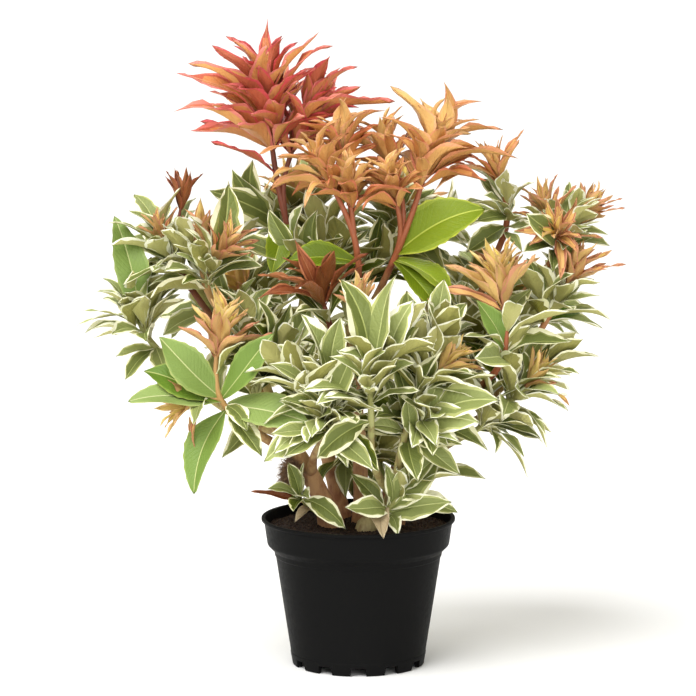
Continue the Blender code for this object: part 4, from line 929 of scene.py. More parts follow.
class Growth:
    """One mass: its twigs, its leaves and the ball of space it keeps to."""

    def __init__(self, mass, limb, seed):
        self.mass = mass
        self.rng = random.Random(seed)
        self.leaves = []
        self.sides = []
        first = Vector(mass.shoots[0].head)
        if mass.at == 1:
            foot, heading = limb.tip()
            cut = heading
            self.start = limb.path[-1] - heading * limb.radii[-1]
        else:
            foot, cut, along = limb.side(mass.at, first)
            heading = cut + along * TWIG_RISE
            self.start = limb.place(mass.at)[0]
        self.twigs = [self.twig(foot, heading, first, TWIG_FOOT_RADIUS, cut)]
        for shoot in mass.shoots[1:]:
            fork, along, radius = self.twigs[0].place(self.rng.uniform(*TWIG_FORK))
            radius *= TWIG_FORK_SHRINK
            self.twigs.append(self.twig(fork, along, Vector(shoot.head), radius, None))
        places = [foot] + [Vector(shoot.head) for shoot in mass.shoots]
        self.heart = sum(places, Vector()) / len(places)
        self.reach = max((place - self.heart).length for place in places) + MASS_REACH

    def twig(self, foot, heading, head, radius, cut):
        path = bent_path(foot, heading, head, TWIG_RINGS)
        radii = []
        for ring in range(TWIG_RINGS):
            share = ring / (TWIG_RINGS - 1)
            radii.append(radius * (1 - share) + TWIG_HEAD_RADIUS * share)
        return Limb(path, radii, TWIG_SIDES, cut)

    def keep(self, leaf, age):
        self.leaves.append(leaf._replace(mass=self.mass.name, age=age))

    def aimed(self, crown, table, allows):
        for aimed in table:
            if aimed.mass == self.mass.name:
                root, axis, _ = self.twigs[aimed.shoot].place(aimed.at)
                for number in range(TRIES):
                    depth = self.rng.uniform(-RETRY_DEPTH, RETRY_DEPTH) * number
                    tip = Vector(aimed.tip) + Vector((0, depth, 0))
                    leaf = aim_leaf(aimed.kind, root, tip, axis, self.rng, aimed.face)
                    if allows(self.mass.name, leaf, self.heart, self.reach * 2):
                        self.keep(leaf, 0.6)
                        break

    def whorls(self, allows, kind, count, length, bottom, top, low, high, twig):
        """Leaves set round a stretch of twig by the golden angle, steeper towards its top."""
        turn = self.rng.uniform(0, math.tau)
        for number in range(count):
            share = (number + 0.5) / count
            root, axis, _ = twig.place(bottom + (top - bottom) * share)
            angle = low + (high - low) * share
            size = length * (SIZE_FOOT - SIZE_DROP * share)
            for attempt in range(TRIES):
                loose = self.rng.uniform(-ANGLE_SPREAD, ANGLE_SPREAD) * (1 + attempt)
                spread = math.radians(angle + loose)
                azimuth = turn + math.radians(number * GOLDEN_ANGLE)
                azimuth += self.rng.uniform(-TURN_SPREAD, TURN_SPREAD) * attempt
                long = size * (1 + self.rng.uniform(-SIZE_SPREAD, SIZE_SPREAD))
                long *= 1 - RETRY_SHORTER * attempt
                leaf = spread_leaf(kind, root, axis, azimuth, spread, long, self.rng)
                if math.hypot(leaf.tip.x / CROWN_WIDTH, leaf.tip.y / CROWN_DEPTH) > 1:
                    continue
                if allows(self.mass.name, leaf, self.heart, self.reach):
                    self.keep(leaf, 1 - share)
                    break

    def young(self, allows):
        for shoot, twig in zip(self.mass.shoots, self.twigs):
            if shoot.kind != "old":
                self.dress(allows, shoot, twig)

    def grown(self, allows):
        for shoot, twig in zip(self.mass.shoots, self.twigs):
            if shoot.kind == "old":
                self.dress(allows, shoot, twig)
            elif shoot.old:
                bottom, top = OLD_STRETCH
                top -= self.run_share(shoot, twig)
                self.whorls(allows, "old", shoot.old, shoot.old_length, bottom, top,
                            *OLD_ANGLES, twig)

    def dress(self, allows, shoot, twig):
        bottom = 1 - self.run_share(shoot, twig)
        self.whorls(allows, shoot.kind, shoot.count, shoot.length, bottom, 0.99,
                    shoot.low, shoot.high, twig)

    @staticmethod
    def run_share(shoot, twig):
        return min(LONGEST_RUN, shoot.run / twig.length())

    # Finer growth, which the solids leave out

    def fill(self, allows):
        """Smaller leaves between those of each rosette, and between the old ones below it."""
        for shoot, twig in zip(self.mass.shoots, self.twigs):
            more = FILLS[shoot.kind]
            bottom = 1 - self.run_share(shoot, twig)
            count = round(shoot.count * more.count)
            self.whorls(allows, shoot.kind, count, shoot.length * more.length, bottom, 0.985,
                        shoot.low + more.lean, max(SLIMMEST, shoot.high + more.lean / 2), twig)
            if shoot.kind != "old" and shoot.old and self.mass.name not in BARE_MASSES:
                low, top = OLD_STRETCH
                top -= self.run_share(shoot, twig) + BARE_NECK
                self.whorls(allows, "old", shoot.old, shoot.old_length * FILLS["old"].length,
                            low, top, *OLD_ANGLES, twig)

    def branch(self, crown, allows, side_shoots):
        """Side shoots with a whorl of small leaves, where there is room for them."""
        for shoot, twig in zip(self.mass.shoots, self.twigs):
            if shoot.kind in BARE_BELOW or self.mass.name in BARE_MASSES:
                continue
            low, high = SIDE_STRETCH
            turn = self.rng.uniform(0, math.tau)
            count = side_shoots if shoot.kind == "old" else side_shoots // 2
            for number in range(count):
                share = low + (high - low) * (number + 0.5) / count
                foot, axis, radius = twig.place(share)
                for attempt in range(TRIES):
                    azimuth = turn + math.radians((number + attempt * 0.4) * GOLDEN_ANGLE)
                    lean = math.radians(SIDE_LEAN + self.rng.uniform(-9, 9))
                    heading = axis * math.cos(lean) + around(axis, azimuth) * math.sin(lean)
                    reach = SIDE_LENGTH * self.rng.uniform(0.7, 1.25)
                    head = foot + (heading + Vector((0, 0, SIDE_LIFT))).normalized() * reach
                    path = bent_path(foot + heading * radius, heading, head, TWIG_RINGS)
                    side = Limb(path, [SIDE_RADIUS] * TWIG_RINGS, TWIG_SIDES)
                    body = Body(self.mass.name, side.surface)
                    if not inside_box(head) or crown.limbs.met_by(body) or crown.fine.met_by(body):
                        continue
                    side.path[0] = foot
                    self.sides.append(side)
                    crown.twigs.add(body)
                    self.whorls(allows, "old", SIDE_LEAVES, shoot.old_length * SIDE_LEAF, 0.3,
                                0.98, SIDE_ANGLES[0], SIDE_ANGLES[1], side)
                    break


Plant = namedtuple("Plant", "limbs growths")


@functools.cache
def grown_plant(side_shoots):
    """The whole plant: first what the solids show, in their order, then the finer growth."""
    limbs = {trunk.name: grow_trunk(trunk) for trunk in TRUNKS}
    for bough in BOUGHS:
        limbs[bough.name] = grow_bough(bough, limbs[bough.trunk])
    bodies = [Body(name, limb.surface) for name, limb in limbs.items()]
    crown = Crown(bodies + [knot_body(limbs[KNOT_TRUNK])])
    growths = []
    for number, mass in enumerate(MASSES):
        growths.append(Growth(mass, limbs[mass.limb], SEED + number))
    for growth in growths:
        for twig in growth.twigs:
            crown.twigs.add(Body(growth.mass.name, twig.surface))
    for growth in growths:
        growth.aimed(crown, AIMED, crown.allows)
    for growth in growths:
        growth.young(crown.allows)
    for growth in growths:
        growth.grown(crown.allows)
    for growth in growths:
        growth.aimed(crown, MORE_AIMED, crown.admits)
    for growth in growths:
        growth.fill(crown.admits)
    for growth in growths:
        growth.branch(crown, crown.admits, side_shoots)
    return Plant(limbs, growths)


# Node trees


class Nodes:
    """Adds nodes to a tree and joins their sockets."""

    def __init__(self, tree):
        self.tree = tree

    def add(self, kind, inputs=(), **settings):
        """A node of a kind. Inputs are numbers, vectors or other nodes' sockets, by name or place."""
        node = self.tree.nodes.new(kind)
        for name, value in settings.items():
            setattr(node, name, value)
        for name, value in dict(inputs).items():
            self.feed(node.inputs[name], value)
        return node

    def feed(self, socket, value):
        if isinstance(value, bpy.types.NodeSocket):
            self.tree.links.new(value, socket)
        else:
            socket.default_value = value

    def maths(self, operation, *values):
        return self.add("ShaderNodeMath", enumerate(values), operation=operation).outputs[0]

    def vector(self, operation, *values):
        node = self.add("ShaderNodeVectorMath", enumerate(values), operation=operation)
        return node.outputs["Value" if operation in ("LENGTH", "DOT_PRODUCT") else "Vector"]

    def scaled(self, vector, number):
        inputs = {"Vector": vector, "Scale": number}
        return self.add("ShaderNodeVectorMath", inputs, operation="SCALE").outputs["Vector"]

    def total(self, first, *others):
        for other in others:
            first = self.vector("ADD", first, other)
        return first

    def attribute(self, name, kind="FLOAT"):
        node = self.add("GeometryNodeInputNamedAttribute", {"Name": name}, data_type=kind)
        return node.outputs["Attribute"]

    def paint(self, geometry, materials, number):
        """Sets each material where the number is its place in the list."""
        for place, material in enumerate(materials):
            chosen = self.maths("COMPARE", number, place, 0.5)
            inputs = {"Geometry": geometry, "Selection": chosen, "Material": material}
            geometry = self.add("GeometryNodeSetMaterial", inputs).outputs["Geometry"]
        return geometry


SOCKETS = {
    "geometry": "NodeSocketGeometry",
    "collection": "NodeSocketCollection",
    "number": "NodeSocketFloat",
    "count": "NodeSocketInt",
    "vector": "NodeSocketVector",
    "colour": "NodeSocketColor",
}


def new_tree(name, kind, inputs, outputs):
    """A node group with named inputs and outputs, given as name and socket word."""
    tree = bpy.data.node_groups.new(name, kind)
    for names, side in ((inputs, "INPUT"), (outputs, "OUTPUT")):
        for label, word in names.items():
            tree.interface.new_socket(label, in_out=side, socket_type=SOCKETS[word])
    nodes = Nodes(tree)
    start = nodes.add("NodeGroupInput").outputs
    end = nodes.add("NodeGroupOutput").inputs
    return tree, nodes, start, end


def grown_mesh(name, seeds, tree, settings):
    """The plain mesh that a Geometry Nodes tree grows from a seed mesh."""
    carrier = bpy.data.objects.new(name, seeds)
    bpy.context.scene.collection.objects.link(carrier)
    modifier = carrier.modifiers.new("Grow", "NODES")
    modifier.node_group = tree
    for item in tree.interface.items_tree:
        if item.in_out == "INPUT" and item.name in settings:
            modifier[item.identifier] = settings[item.name]
    graph = bpy.context.evaluated_depsgraph_get()
    graph.update()
    evaluated = carrier.evaluated_get(graph)
    mesh = bpy.data.meshes.new_from_object(evaluated, preserve_all_data_layers=True, depsgraph=graph)
    bpy.data.objects.remove(carrier, do_unlink=True)
    bpy.data.meshes.remove(seeds)
    if not mesh.polygons:
        raise RuntimeError(f"{name} has no faces")
    for attribute in list(mesh.attributes):
        if attribute.name in SEED_ATTRIBUTES:
            mesh.attributes.remove(mesh.attributes[attribute.name])
    keep_used_materials(mesh)
    mesh.name = name
    return mesh


def keep_used_materials(mesh):
    """Take the slots that no face uses out of a mesh."""
    numbers = np.zeros(len(mesh.polygons), int)
    mesh.polygons.foreach_get("material_index", numbers)
    used = np.unique(numbers)
    materials = [mesh.materials[int(place)] for place in used]
    mesh.materials.clear()
    for material in materials:
        mesh.materials.append(material)
    mesh.polygons.foreach_set("material_index", np.searchsorted(used, numbers))


def new_piece(name, mesh, *nodes, slot=None):
    """A finished piece: it rides on the part's one body and stands for its CAD nodes."""
    piece = bpy.data.objects.new(name, mesh)
    bpy.context.scene.collection.objects.link(piece)
    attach(piece, "root")
    if nodes:
        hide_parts(*nodes)
    return piece


def store(mesh, name, kind, values):
    """Keep one value for each point of a mesh."""
    layer = mesh.attributes.new(name, kind, "POINT")
    field = "vector" if kind == "FLOAT_VECTOR" else "value"
    layer.data.foreach_set(field, np.array(values).ravel())


SEED_ATTRIBUTES = ("root", "chord", "up", "half", "rise", "droop", "hook", "sway", "twist",
                   "fold", "pattern", "paint", "part", "thick", "relief")
TONE = "tone"


def blended(first, second, share):
    return tuple(a * (1 - share) + b * share for a, b in zip(first, second))


# Shader groups


@functools.cache
def grain_group():
    """Fine grain at two scales: a mask and a bump."""
    inputs = {"Scale": "number", "Stretch": "vector", "Depth": "number", "Rough Low": "number",
              "Rough High": "number"}
    tree, nodes, start, end = new_tree("Grain", "ShaderNodeTree", inputs,
                                       {"Mask": "number", "Roughness": "number", "Normal": "vector"})
    place = nodes.add("ShaderNodeTexCoord").outputs["Object"]
    drawn = nodes.vector("MULTIPLY", place, start["Stretch"])
    coarse = nodes.add("ShaderNodeTexNoise", {"Vector": drawn, "Scale": start["Scale"], "Detail": 6.0})
    fine_scale = nodes.maths("MULTIPLY", start["Scale"], 5.0)
    fine = nodes.add("ShaderNodeTexNoise", {"Vector": drawn, "Scale": fine_scale, "Detail": 3.0})
    height = nodes.maths("MULTIPLY_ADD", fine.outputs["Fac"], 0.4, coarse.outputs["Fac"])
    bump = nodes.add("ShaderNodeBump", {"Height": height, "Distance": start["Depth"]})
    nodes.feed(end["Normal"], bump.outputs["Normal"])
    nodes.feed(end["Mask"], coarse.outputs["Fac"])
    spread = nodes.add("ShaderNodeMapRange", {"Value": coarse.outputs["Fac"], "From Min": 0.35,
                                              "From Max": 0.65, "To Min": start["Rough Low"],
                                              "To Max": start["Rough High"]})
    nodes.feed(end["Roughness"], spread.outputs["Result"])
    return tree


@functools.cache
def leaf_skin_group():
    """Waxy leaf skin: a sunk midrib, slanted side veins and fine crinkles."""
    inputs = {"Veins": "number", "Depth": "number", "Rough Low": "number", "Rough High": "number"}
    tree, nodes, start, end = new_tree("Leaf skin", "ShaderNodeTree", inputs,
                                       {"Roughness": "number", "Normal": "vector"})
    flat = nodes.add("ShaderNodeUVMap", uv_map="UVMap").outputs["UV"]
    along, across, _ = nodes.add("ShaderNodeSeparateXYZ", {0: flat}).outputs
    out = nodes.maths("ABSOLUTE", nodes.maths("MULTIPLY_ADD", across, 2.0, -1.0))
    slant = nodes.maths("MULTIPLY_ADD", out, -0.22, along)
    wave = nodes.maths("SINE", nodes.maths("MULTIPLY", nodes.maths("MULTIPLY", slant, math.tau),
                                           start["Veins"]))
    vein = nodes.maths("POWER", nodes.maths("MULTIPLY_ADD", wave, 0.5, 0.5), 5.0)
    rib = nodes.maths("POWER", nodes.maths("SUBTRACT", 1.0, out), 14.0)
    place = nodes.add("ShaderNodeTexCoord").outputs["Object"]
    crinkle = nodes.add("ShaderNodeTexNoise", {"Vector": place, "Scale": 420.0, "Detail": 3.0})
    grooves = nodes.maths("MULTIPLY_ADD", rib, 1.5, nodes.maths("MULTIPLY", vein, 0.5))
    height = nodes.maths("SUBTRACT", nodes.maths("MULTIPLY", crinkle.outputs["Fac"], 1.6), grooves)
    bump = nodes.add("ShaderNodeBump", {"Height": height, "Distance": start["Depth"]})
    nodes.feed(end["Normal"], bump.outputs["Normal"])
    blotch = nodes.add("ShaderNodeTexNoise", {"Vector": place, "Scale": 120.0, "Detail": 2.0})
    spread = nodes.add("ShaderNodeMapRange", {"Value": blotch.outputs["Fac"], "From Min": 0.3,
                                              "From Max": 0.7, "To Min": start["Rough Low"],
                                              "To Max": start["Rough High"]})
    nodes.feed(end["Roughness"], spread.outputs["Result"])
    return tree


def shader_of(name):
    """A new material's nodes and its Principled shader."""
    material = bpy.data.materials.new(name)
    material.use_nodes = True
    nodes = Nodes(material.node_tree)
    return material, nodes, material.node_tree.nodes["Principled BSDF"].inputs


def grainy(name, colour, scale, stretch, depth, rough, second=None, specular=0.5):
    """A material with grain. A second colour, if given, follows the grain's mask."""
    material, nodes, shader = shader_of(name)
    grain = nodes.add("ShaderNodeGroup", node_tree=grain_group())
    for label, value in (("Scale", scale), ("Stretch", stretch), ("Depth", depth),
                         ("Rough Low", rough[0]), ("Rough High", rough[1])):
        nodes.feed(grain.inputs[label], value)
    nodes.feed(shader["Roughness"], grain.outputs["Roughness"])
    nodes.feed(shader["Normal"], grain.outputs["Normal"])
    shader["Specular IOR Level"].default_value = specular
    if second is None:
        shader["Base Color"].default_value = (*colour, 1)
    else:
        steps = nodes.add("ShaderNodeMapRange", {"Value": grain.outputs["Mask"], "From Min": 0.36,
                                                 "From Max": 0.64})
        mixed = nodes.add("ShaderNodeMix", {0: steps.outputs["Result"]}, data_type="RGBA")
        nodes.feed(mixed.inputs[6], (*colour, 1))
        nodes.feed(mixed.inputs[7], (*second, 1))
        nodes.feed(shader["Base Color"], mixed.outputs[2])
    return material


def leaf_material(name, colour, gloss, veins, depth):
    material, nodes, shader = shader_of(name)
    shader["Base Color"].default_value = (*colour, 1)
    shader["Specular IOR Level"].default_value = LEAF_SPECULAR
    skin = nodes.add("ShaderNodeGroup", node_tree=leaf_skin_group())
    for label, value in (("Veins", veins), ("Depth", depth), ("Rough Low", gloss - GLOSS_SPREAD),
                         ("Rough High", gloss + GLOSS_SPREAD)):
        nodes.feed(skin.inputs[label], value)
    nodes.feed(shader["Roughness"], skin.outputs["Roughness"])
    nodes.feed(shader["Normal"], skin.outputs["Normal"])
    return material


# Pot


def rounded(points, radius, steps):
    """Points of a bent line with each inner corner turned into a small curve."""
    made = [points[0]]
    for before, corner, after in zip(points, points[1:], points[2:]):
        back, on = before - corner, after - corner
        reach = min(radius, back.length / 2, on.length / 2)
        first = corner + back.normalized() * reach
        last = corner + on.normalized() * reach
        for step in range(steps + 1):
            t = step / steps
            made.append(first * (1 - t) ** 2 + corner * 2 * t * (1 - t) + last * t * t)
    return made + [points[-1]]


def lathe(points, steps):
    """Corners and faces of a body turned from (radius, height) points."""
    corners, rings, faces = [], [], []
    for point in points:
        count = steps if point[0] > 1e-9 else 1
        rings.append([len(corners) + i for i in range(count)])
        for step in range(count):
            angle = math.tau * step / steps
            corners.append((point[0] * math.cos(angle), point[0] * math.sin(angle), point[1]))
    for low, high in zip(rings, rings[1:]):
        for step in range(steps):
            after = (step + 1) % steps
            if len(low) == 1:
                faces.append((low[0], high[after], high[step]))
            elif len(high) == 1:
                faces.append((low[step], low[after], high[0]))
            else:
                faces.append((low[step], low[after], high[after], high[step]))
    return corners, faces


def pot_outline(pot):
    """(radius, height) points from the axis inside, over the lip and back to the axis below."""
    lip = LIP_RADIUS * MM
    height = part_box("pot")[1].z
    wall, line = pot.wall, pot.groove
    ring_inside = pot.foot_radius - pot.foot_ring
    inside = [
        (0, pot.floor + pot.wall),
        (pot.foot_radius - wall, pot.floor + pot.wall),
        (pot.shoulder_radius - wall, pot.collar_foot),
        (pot.collar_radius - wall, pot.shoulder + wall),
        (pot.band_foot_radius - wall, pot.band_foot + wall),
        (pot.band_top_radius - wall, height - pot.lip_height / 2),
        (pot.band_top_radius - wall + line, height),
    ]
    outside = [
        (lip, height),
        (lip, height - pot.lip_height),
        (pot.band_top_radius, height - pot.lip_height - line),
        (pot.band_foot_radius + line, pot.band_foot + 2 * line),
        (pot.band_foot_radius, pot.band_foot),
        (pot.collar_radius + 2 * line, pot.shoulder + 2 * line),
        (pot.collar_radius, pot.shoulder),
        (pot.collar_radius - line, pot.collar_foot),
        (pot.shoulder_radius, pot.collar_foot - line),
    ]
    start = Vector((pot.shoulder_radius, pot.collar_foot - line))
    foot_line = start.lerp(Vector((pot.foot_radius, 0)), 1 - pot.foot_line / start.y)
    below = [
        (foot_line.x, foot_line.y + line),
        (foot_line.x + line / 2, foot_line.y),
        (pot.foot_radius + line / 2, line),
        (pot.foot_radius - line, 0),
        (ring_inside, 0),
        (ring_inside, pot.floor),
        (pot.disc_radius, pot.floor),
        (pot.disc_radius, 0),
        (0, 0),
    ]
    return [Vector(point) for point in inside + outside + below]


def wedge(pot, angle):
    """A cutter that opens a gap between two feet, narrower at its top."""
    inner = pot.foot_radius - pot.foot_ring - pot.notch_over
    outer = pot.foot_radius + pot.notch_over
    out = Vector((math.cos(angle), math.sin(angle), 0))
    side = Vector((-math.sin(angle), math.cos(angle), 0))
    corners = []
    for radius in (inner, outer):
        for height, width in ((-pot.notch_over, pot.notch_foot), (pot.notch_height, pot.notch_top)):
            for sign in (-1, 1):
                corners.append(out * radius + side * sign * width / 2 + Vector((0, 0, height)))
    faces = [(0, 2, 3, 1), (4, 5, 7, 6), (0, 1, 5, 4), (2, 6, 7, 3), (0, 4, 6, 2), (1, 3, 7, 5)]
    return corners, faces


def drain(pot, angle):
    """A round cutter through the pot's floor."""
    ring = []
    for height in (-pot.notch_over, pot.floor + pot.wall + pot.notch_over):
        for step in range(DRAIN_STEPS):
            turn = math.tau * step / DRAIN_STEPS
            ring.append((pot.drain_circle * math.cos(angle) + pot.drain_radius * math.cos(turn),
                         pot.drain_circle * math.sin(angle) + pot.drain_radius * math.sin(turn),
                         height))
    faces = [tuple(reversed(range(DRAIN_STEPS))), tuple(range(DRAIN_STEPS, 2 * DRAIN_STEPS))]
    for step in range(DRAIN_STEPS):
        after = (step + 1) % DRAIN_STEPS
        faces.append((step, after, after + DRAIN_STEPS, step + DRAIN_STEPS))
    return ring, faces


def shape(name, corners, faces, collection=None):
    """An object from corners and faces, in a collection that isn't shown if one is given."""
    mesh = bpy.data.meshes.new(name)
    mesh.from_pydata(corners, [], faces)
    made = bpy.data.objects.new(name, mesh)
    (collection or bpy.context.scene.collection).objects.link(made)
    return made


def discard(collection):
    for item in list(collection.objects):
        mesh = item.data
        bpy.data.objects.remove(item, do_unlink=True)
        bpy.data.meshes.remove(mesh)
    bpy.data.collections.remove(collection)


def build_pot(pot):
    """The moulded pot with its feet and drain holes cut, smooth all round."""
    outline = rounded(pot_outline(pot), pot.edge_round, ROUND_STEPS)
    body = shape("pot_turned", *lathe(outline, POT_STEPS))
    skin = bmesh.new()
    skin.from_mesh(body.data)
    bmesh.ops.recalc_face_normals(skin, faces=skin.faces)
    skin.to_mesh(body.data)
    skin.free()
    cutters = bpy.data.collections.new("pot_cutters")
    for number in range(pot.feet):
        angle = -math.pi / 2 + number * math.tau / pot.feet
        shape(f"gap_{number}", *wedge(pot, angle), cutters)
    for number in range(pot.drains):
        shape(f"drain_{number}", *drain(pot, (number + 0.5) * math.tau / pot.drains), cutters)
    cut = body.modifiers.new("Feet and drains", "BOOLEAN")
    cut.operation = "DIFFERENCE"
    cut.operand_type = "COLLECTION"
    cut.collection = cutters
    cut.solver = "EXACT"
    graph = bpy.context.evaluated_depsgraph_get()
    mesh = bpy.data.meshes.new_from_object(body.evaluated_get(graph), depsgraph=graph)
    bpy.data.objects.remove(body, do_unlink=True)
    discard(cutters)
    mesh.polygons.foreach_set("use_smooth", [True] * len(mesh.polygons))
    mesh.set_sharp_from_angle(angle=math.radians(SHARP_ANGLE))
    mesh.materials.clear()
    mesh.materials.append(grainy("pot_plastic", pot.colour, 260.0, (1, 1, 1), 0.00006,
                                 (pot.gloss - 0.05, pot.gloss + 0.06), specular=pot.specular))
    mesh.name = "pot_shell"
    new_piece("pot_shell", mesh, "pot", slot="pot")


# Soil and the dry knot


def scatter_tree(material):
    """Lumps or fibres set at random over a surface."""
    inputs = {"Geometry": "geometry", "Patterns": "collection", "Density": "number",
              "Smallest": "number", "Largest": "number", "Upright": "number", "Seed": "count"}
    tree, nodes, start, end = new_tree("Scatter on a surface", "GeometryNodeTree", inputs,
                                       {"Geometry": "geometry"})
    sown = nodes.add("GeometryNodeDistributePointsOnFaces",
                     {"Mesh": start["Geometry"], "Density": start["Density"], "Seed": start["Seed"]})
    kinds = nodes.add("GeometryNodeCollectionInfo",
                      {"Collection": start["Patterns"], "Separate Children": True})
    def chance(low, high, salt, kind="FLOAT"):
        node = nodes.add("FunctionNodeRandomValue", {"Seed": nodes.maths("ADD", start["Seed"], salt)},
                         data_type=kind)
        sockets = [s for s in node.inputs if s.enabled and s.name in ("Min", "Max")]
        for socket, value in zip(sockets, (low, high)):
            nodes.feed(socket, value)
        return next(s for s in node.outputs if s.enabled)
    turn = chance((-math.pi,) * 3, (math.pi,) * 3, 1, "FLOAT_VECTOR")
    turned = nodes.scaled(turn, nodes.maths("SUBTRACT", 1.0, start["Upright"]))
    spun = nodes.add("FunctionNodeRotateRotation",
                     {"Rotation": sown.outputs["Rotation"], "Rotate By": turned}, rotation_space="LOCAL")
    size = chance(start["Smallest"], start["Largest"], 2)
    placed = nodes.add("GeometryNodeInstanceOnPoints",
                       {"Points": sown.outputs["Points"], "Instance": kinds.outputs["Instances"],
                        "Pick Instance": True, "Instance Index": chance(0, 9, 3, "INT"),
                        "Rotation": spun.outputs["Rotation"], "Scale": size})
    real = nodes.add("GeometryNodeRealizeInstances", {"Geometry": placed.outputs["Instances"]})
    done = nodes.add("GeometryNodeSetMaterial",
                     {"Geometry": real.outputs["Geometry"], "Material": material})
    nodes.feed(end["Geometry"], done.outputs["Geometry"])
    return tree


def lump_patterns(rng):
    """Irregular crumbs one unit across."""
    collection = bpy.data.collections.new("lumps")
    for number in range(PATTERN_COUNT):
        ball = bmesh.new()
        bmesh.ops.create_icosphere(ball, subdivisions=1, radius=0.5)
        flat = Vector((1, rng.uniform(0.6, 0.9), rng.uniform(0.45, 0.8)))
        for vertex in ball.verts:
            vertex.co = vertex.co * flat * rng.uniform(0.75, 1.2)
        made = shape(f"lump_{number}", [], [], collection)
        ball.to_mesh(made.data)
        ball.free()
    return collection


def fibre_patterns(rng):
    """Bent three-sided fibres one unit long, thinner towards the tip."""
    collection = bpy.data.collections.new("fibres")
    for number in range(PATTERN_COUNT):
        bend, turn = rng.uniform(0.15, 0.5), rng.uniform(0, math.tau)
        path, radii = [], []
        for step in range(FIBRE_STEPS):
            t = step / (FIBRE_STEPS - 1)
            aside = bend * t * t
            path.append(Vector((aside * math.cos(turn), aside * math.sin(turn), t)))
            radii.append(FIBRE_THICKNESS * (1.1 - t))
        shape(f"fibre_{number}", *tube(path, radii, 3), collection)
    return collection


def build_soil(soil):
    """Rough peat with crumbs of many sizes over it."""
    low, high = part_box("soil")
    edge = high.x
    rings, steps = SOIL_RINGS, SOIL_STEPS
    rng = random.Random(SEED)
    phases = [(rng.uniform(40, 260), rng.uniform(0, math.tau), rng.uniform(0, math.tau))
              for _ in range(SOIL_WAVES)]
    outline = [Vector((edge * (i / rings), high.z)) for i in range(rings + 1)]
    outline[-1].y = high.z - soil.dip
    outline.append(Vector((edge - soil.taper, high.z - soil.depth)))
    outline.append(Vector((0, outline[-1].y)))
    corners, faces = lathe(outline, steps)
    top = 1 + (rings - 1) * steps
    raised = []
    for number, (x, y, z) in enumerate(corners):
        if number < top:
            wave = sum(math.sin(w * (x * math.cos(a) + y * math.sin(a)) + p) for w, a, p in phases)
            z += soil.roughness * (wave / SOIL_WAVES * 2 + rng.uniform(-0.5, 0.5)) - soil.roughness
        raised.append((x, y, z))
    bed = shape("soil_bed", raised, faces)
    mesh = bed.data
    bpy.data.objects.remove(bed, do_unlink=True)
    skin = bmesh.new()
    skin.from_mesh(mesh)
    bmesh.ops.recalc_face_normals(skin, faces=skin.faces)
    skin.to_mesh(mesh)
    skin.free()
    crust = mesh.copy()
    trim = bmesh.new()
    trim.from_mesh(crust)
    bmesh.ops.delete(trim, geom=[f for f in trim.faces if f.normal.z < 0.4], context="FACES")
    trim.to_mesh(crust)
    trim.free()
    mesh.polygons.foreach_set("use_smooth", [True] * len(mesh.polygons))
    mesh.materials.append(grainy("peat", soil.colour, 320.0, (1, 1, 1), 0.0012, (0.82, 1.0),
                                 second=soil.pale_colour))
    new_piece("soil_bed", mesh, "soil", slot="soil")
    crumbs = bpy.data.materials.get("peat_crumbs") or grainy(
        "peat_crumbs", blended(soil.colour, soil.pale_colour, 0.35), 700.0, (1, 1, 1), 0.0004,
        (0.8, 1.0))
    patterns = lump_patterns(rng)
    settings = {"Patterns": patterns, "Density": soil.crumbs / (math.pi * edge * edge),
                "Smallest": soil.smallest, "Largest": soil.largest, "Upright": 0.0, "Seed": SEED}
    new_piece("soil_crumbs", grown_mesh("soil_crumbs", crust, scatter_tree(crumbs), settings))
    discard(patterns)


def build_knot(knot):
    """The dry knot: a rough core and the dead fibres that stand out of it."""
    rng = random.Random(SEED)
    core = bmesh.new()
    core.from_mesh(frame["nodes"]["dry_knot"].data)
    bmesh.ops.remove_doubles(core, verts=core.verts, dist=0.00002)
    bmesh.ops.subdivide_edges(core, edges=core.edges, cuts=2, use_grid_fill=True)
    core.normal_update()
    middle = sum((v.co for v in core.verts), Vector()) / len(core.verts)
    for vertex in core.verts:
        vertex.co = middle.lerp(vertex.co, rng.uniform(0.72, 0.98))
    bmesh.ops.triangulate(core, faces=core.faces)
    mesh = bpy.data.meshes.new("dry_knot_core")
    core.to_mesh(mesh)
    core.free()
    seeds = mesh.copy()
    mesh.materials.append(grainy("dry_twigs", knot.colour, 500.0, (1, 1, 0.5), 0.0008, (0.8, 1.0),
                                 second=knot.pale_colour))
    new_piece("dry_knot_core", mesh, "dry_knot", slot="dry_knot")
    patterns = fibre_patterns(rng)
    straw = grainy("dry_fibres", knot.pale_colour, 600.0, (1, 1, 1), 0.0003, (0.75, 0.95))
    settings = {"Patterns": patterns, "Density": knot.density, "Smallest": knot.shortest,
                "Largest": knot.longest, "Upright": 0.72, "Seed": SEED}
    new_piece("dry_knot_fibres", grown_mesh("dry_knot_fibres", seeds, scatter_tree(straw), settings))
    discard(patterns)


# Bark and twigs


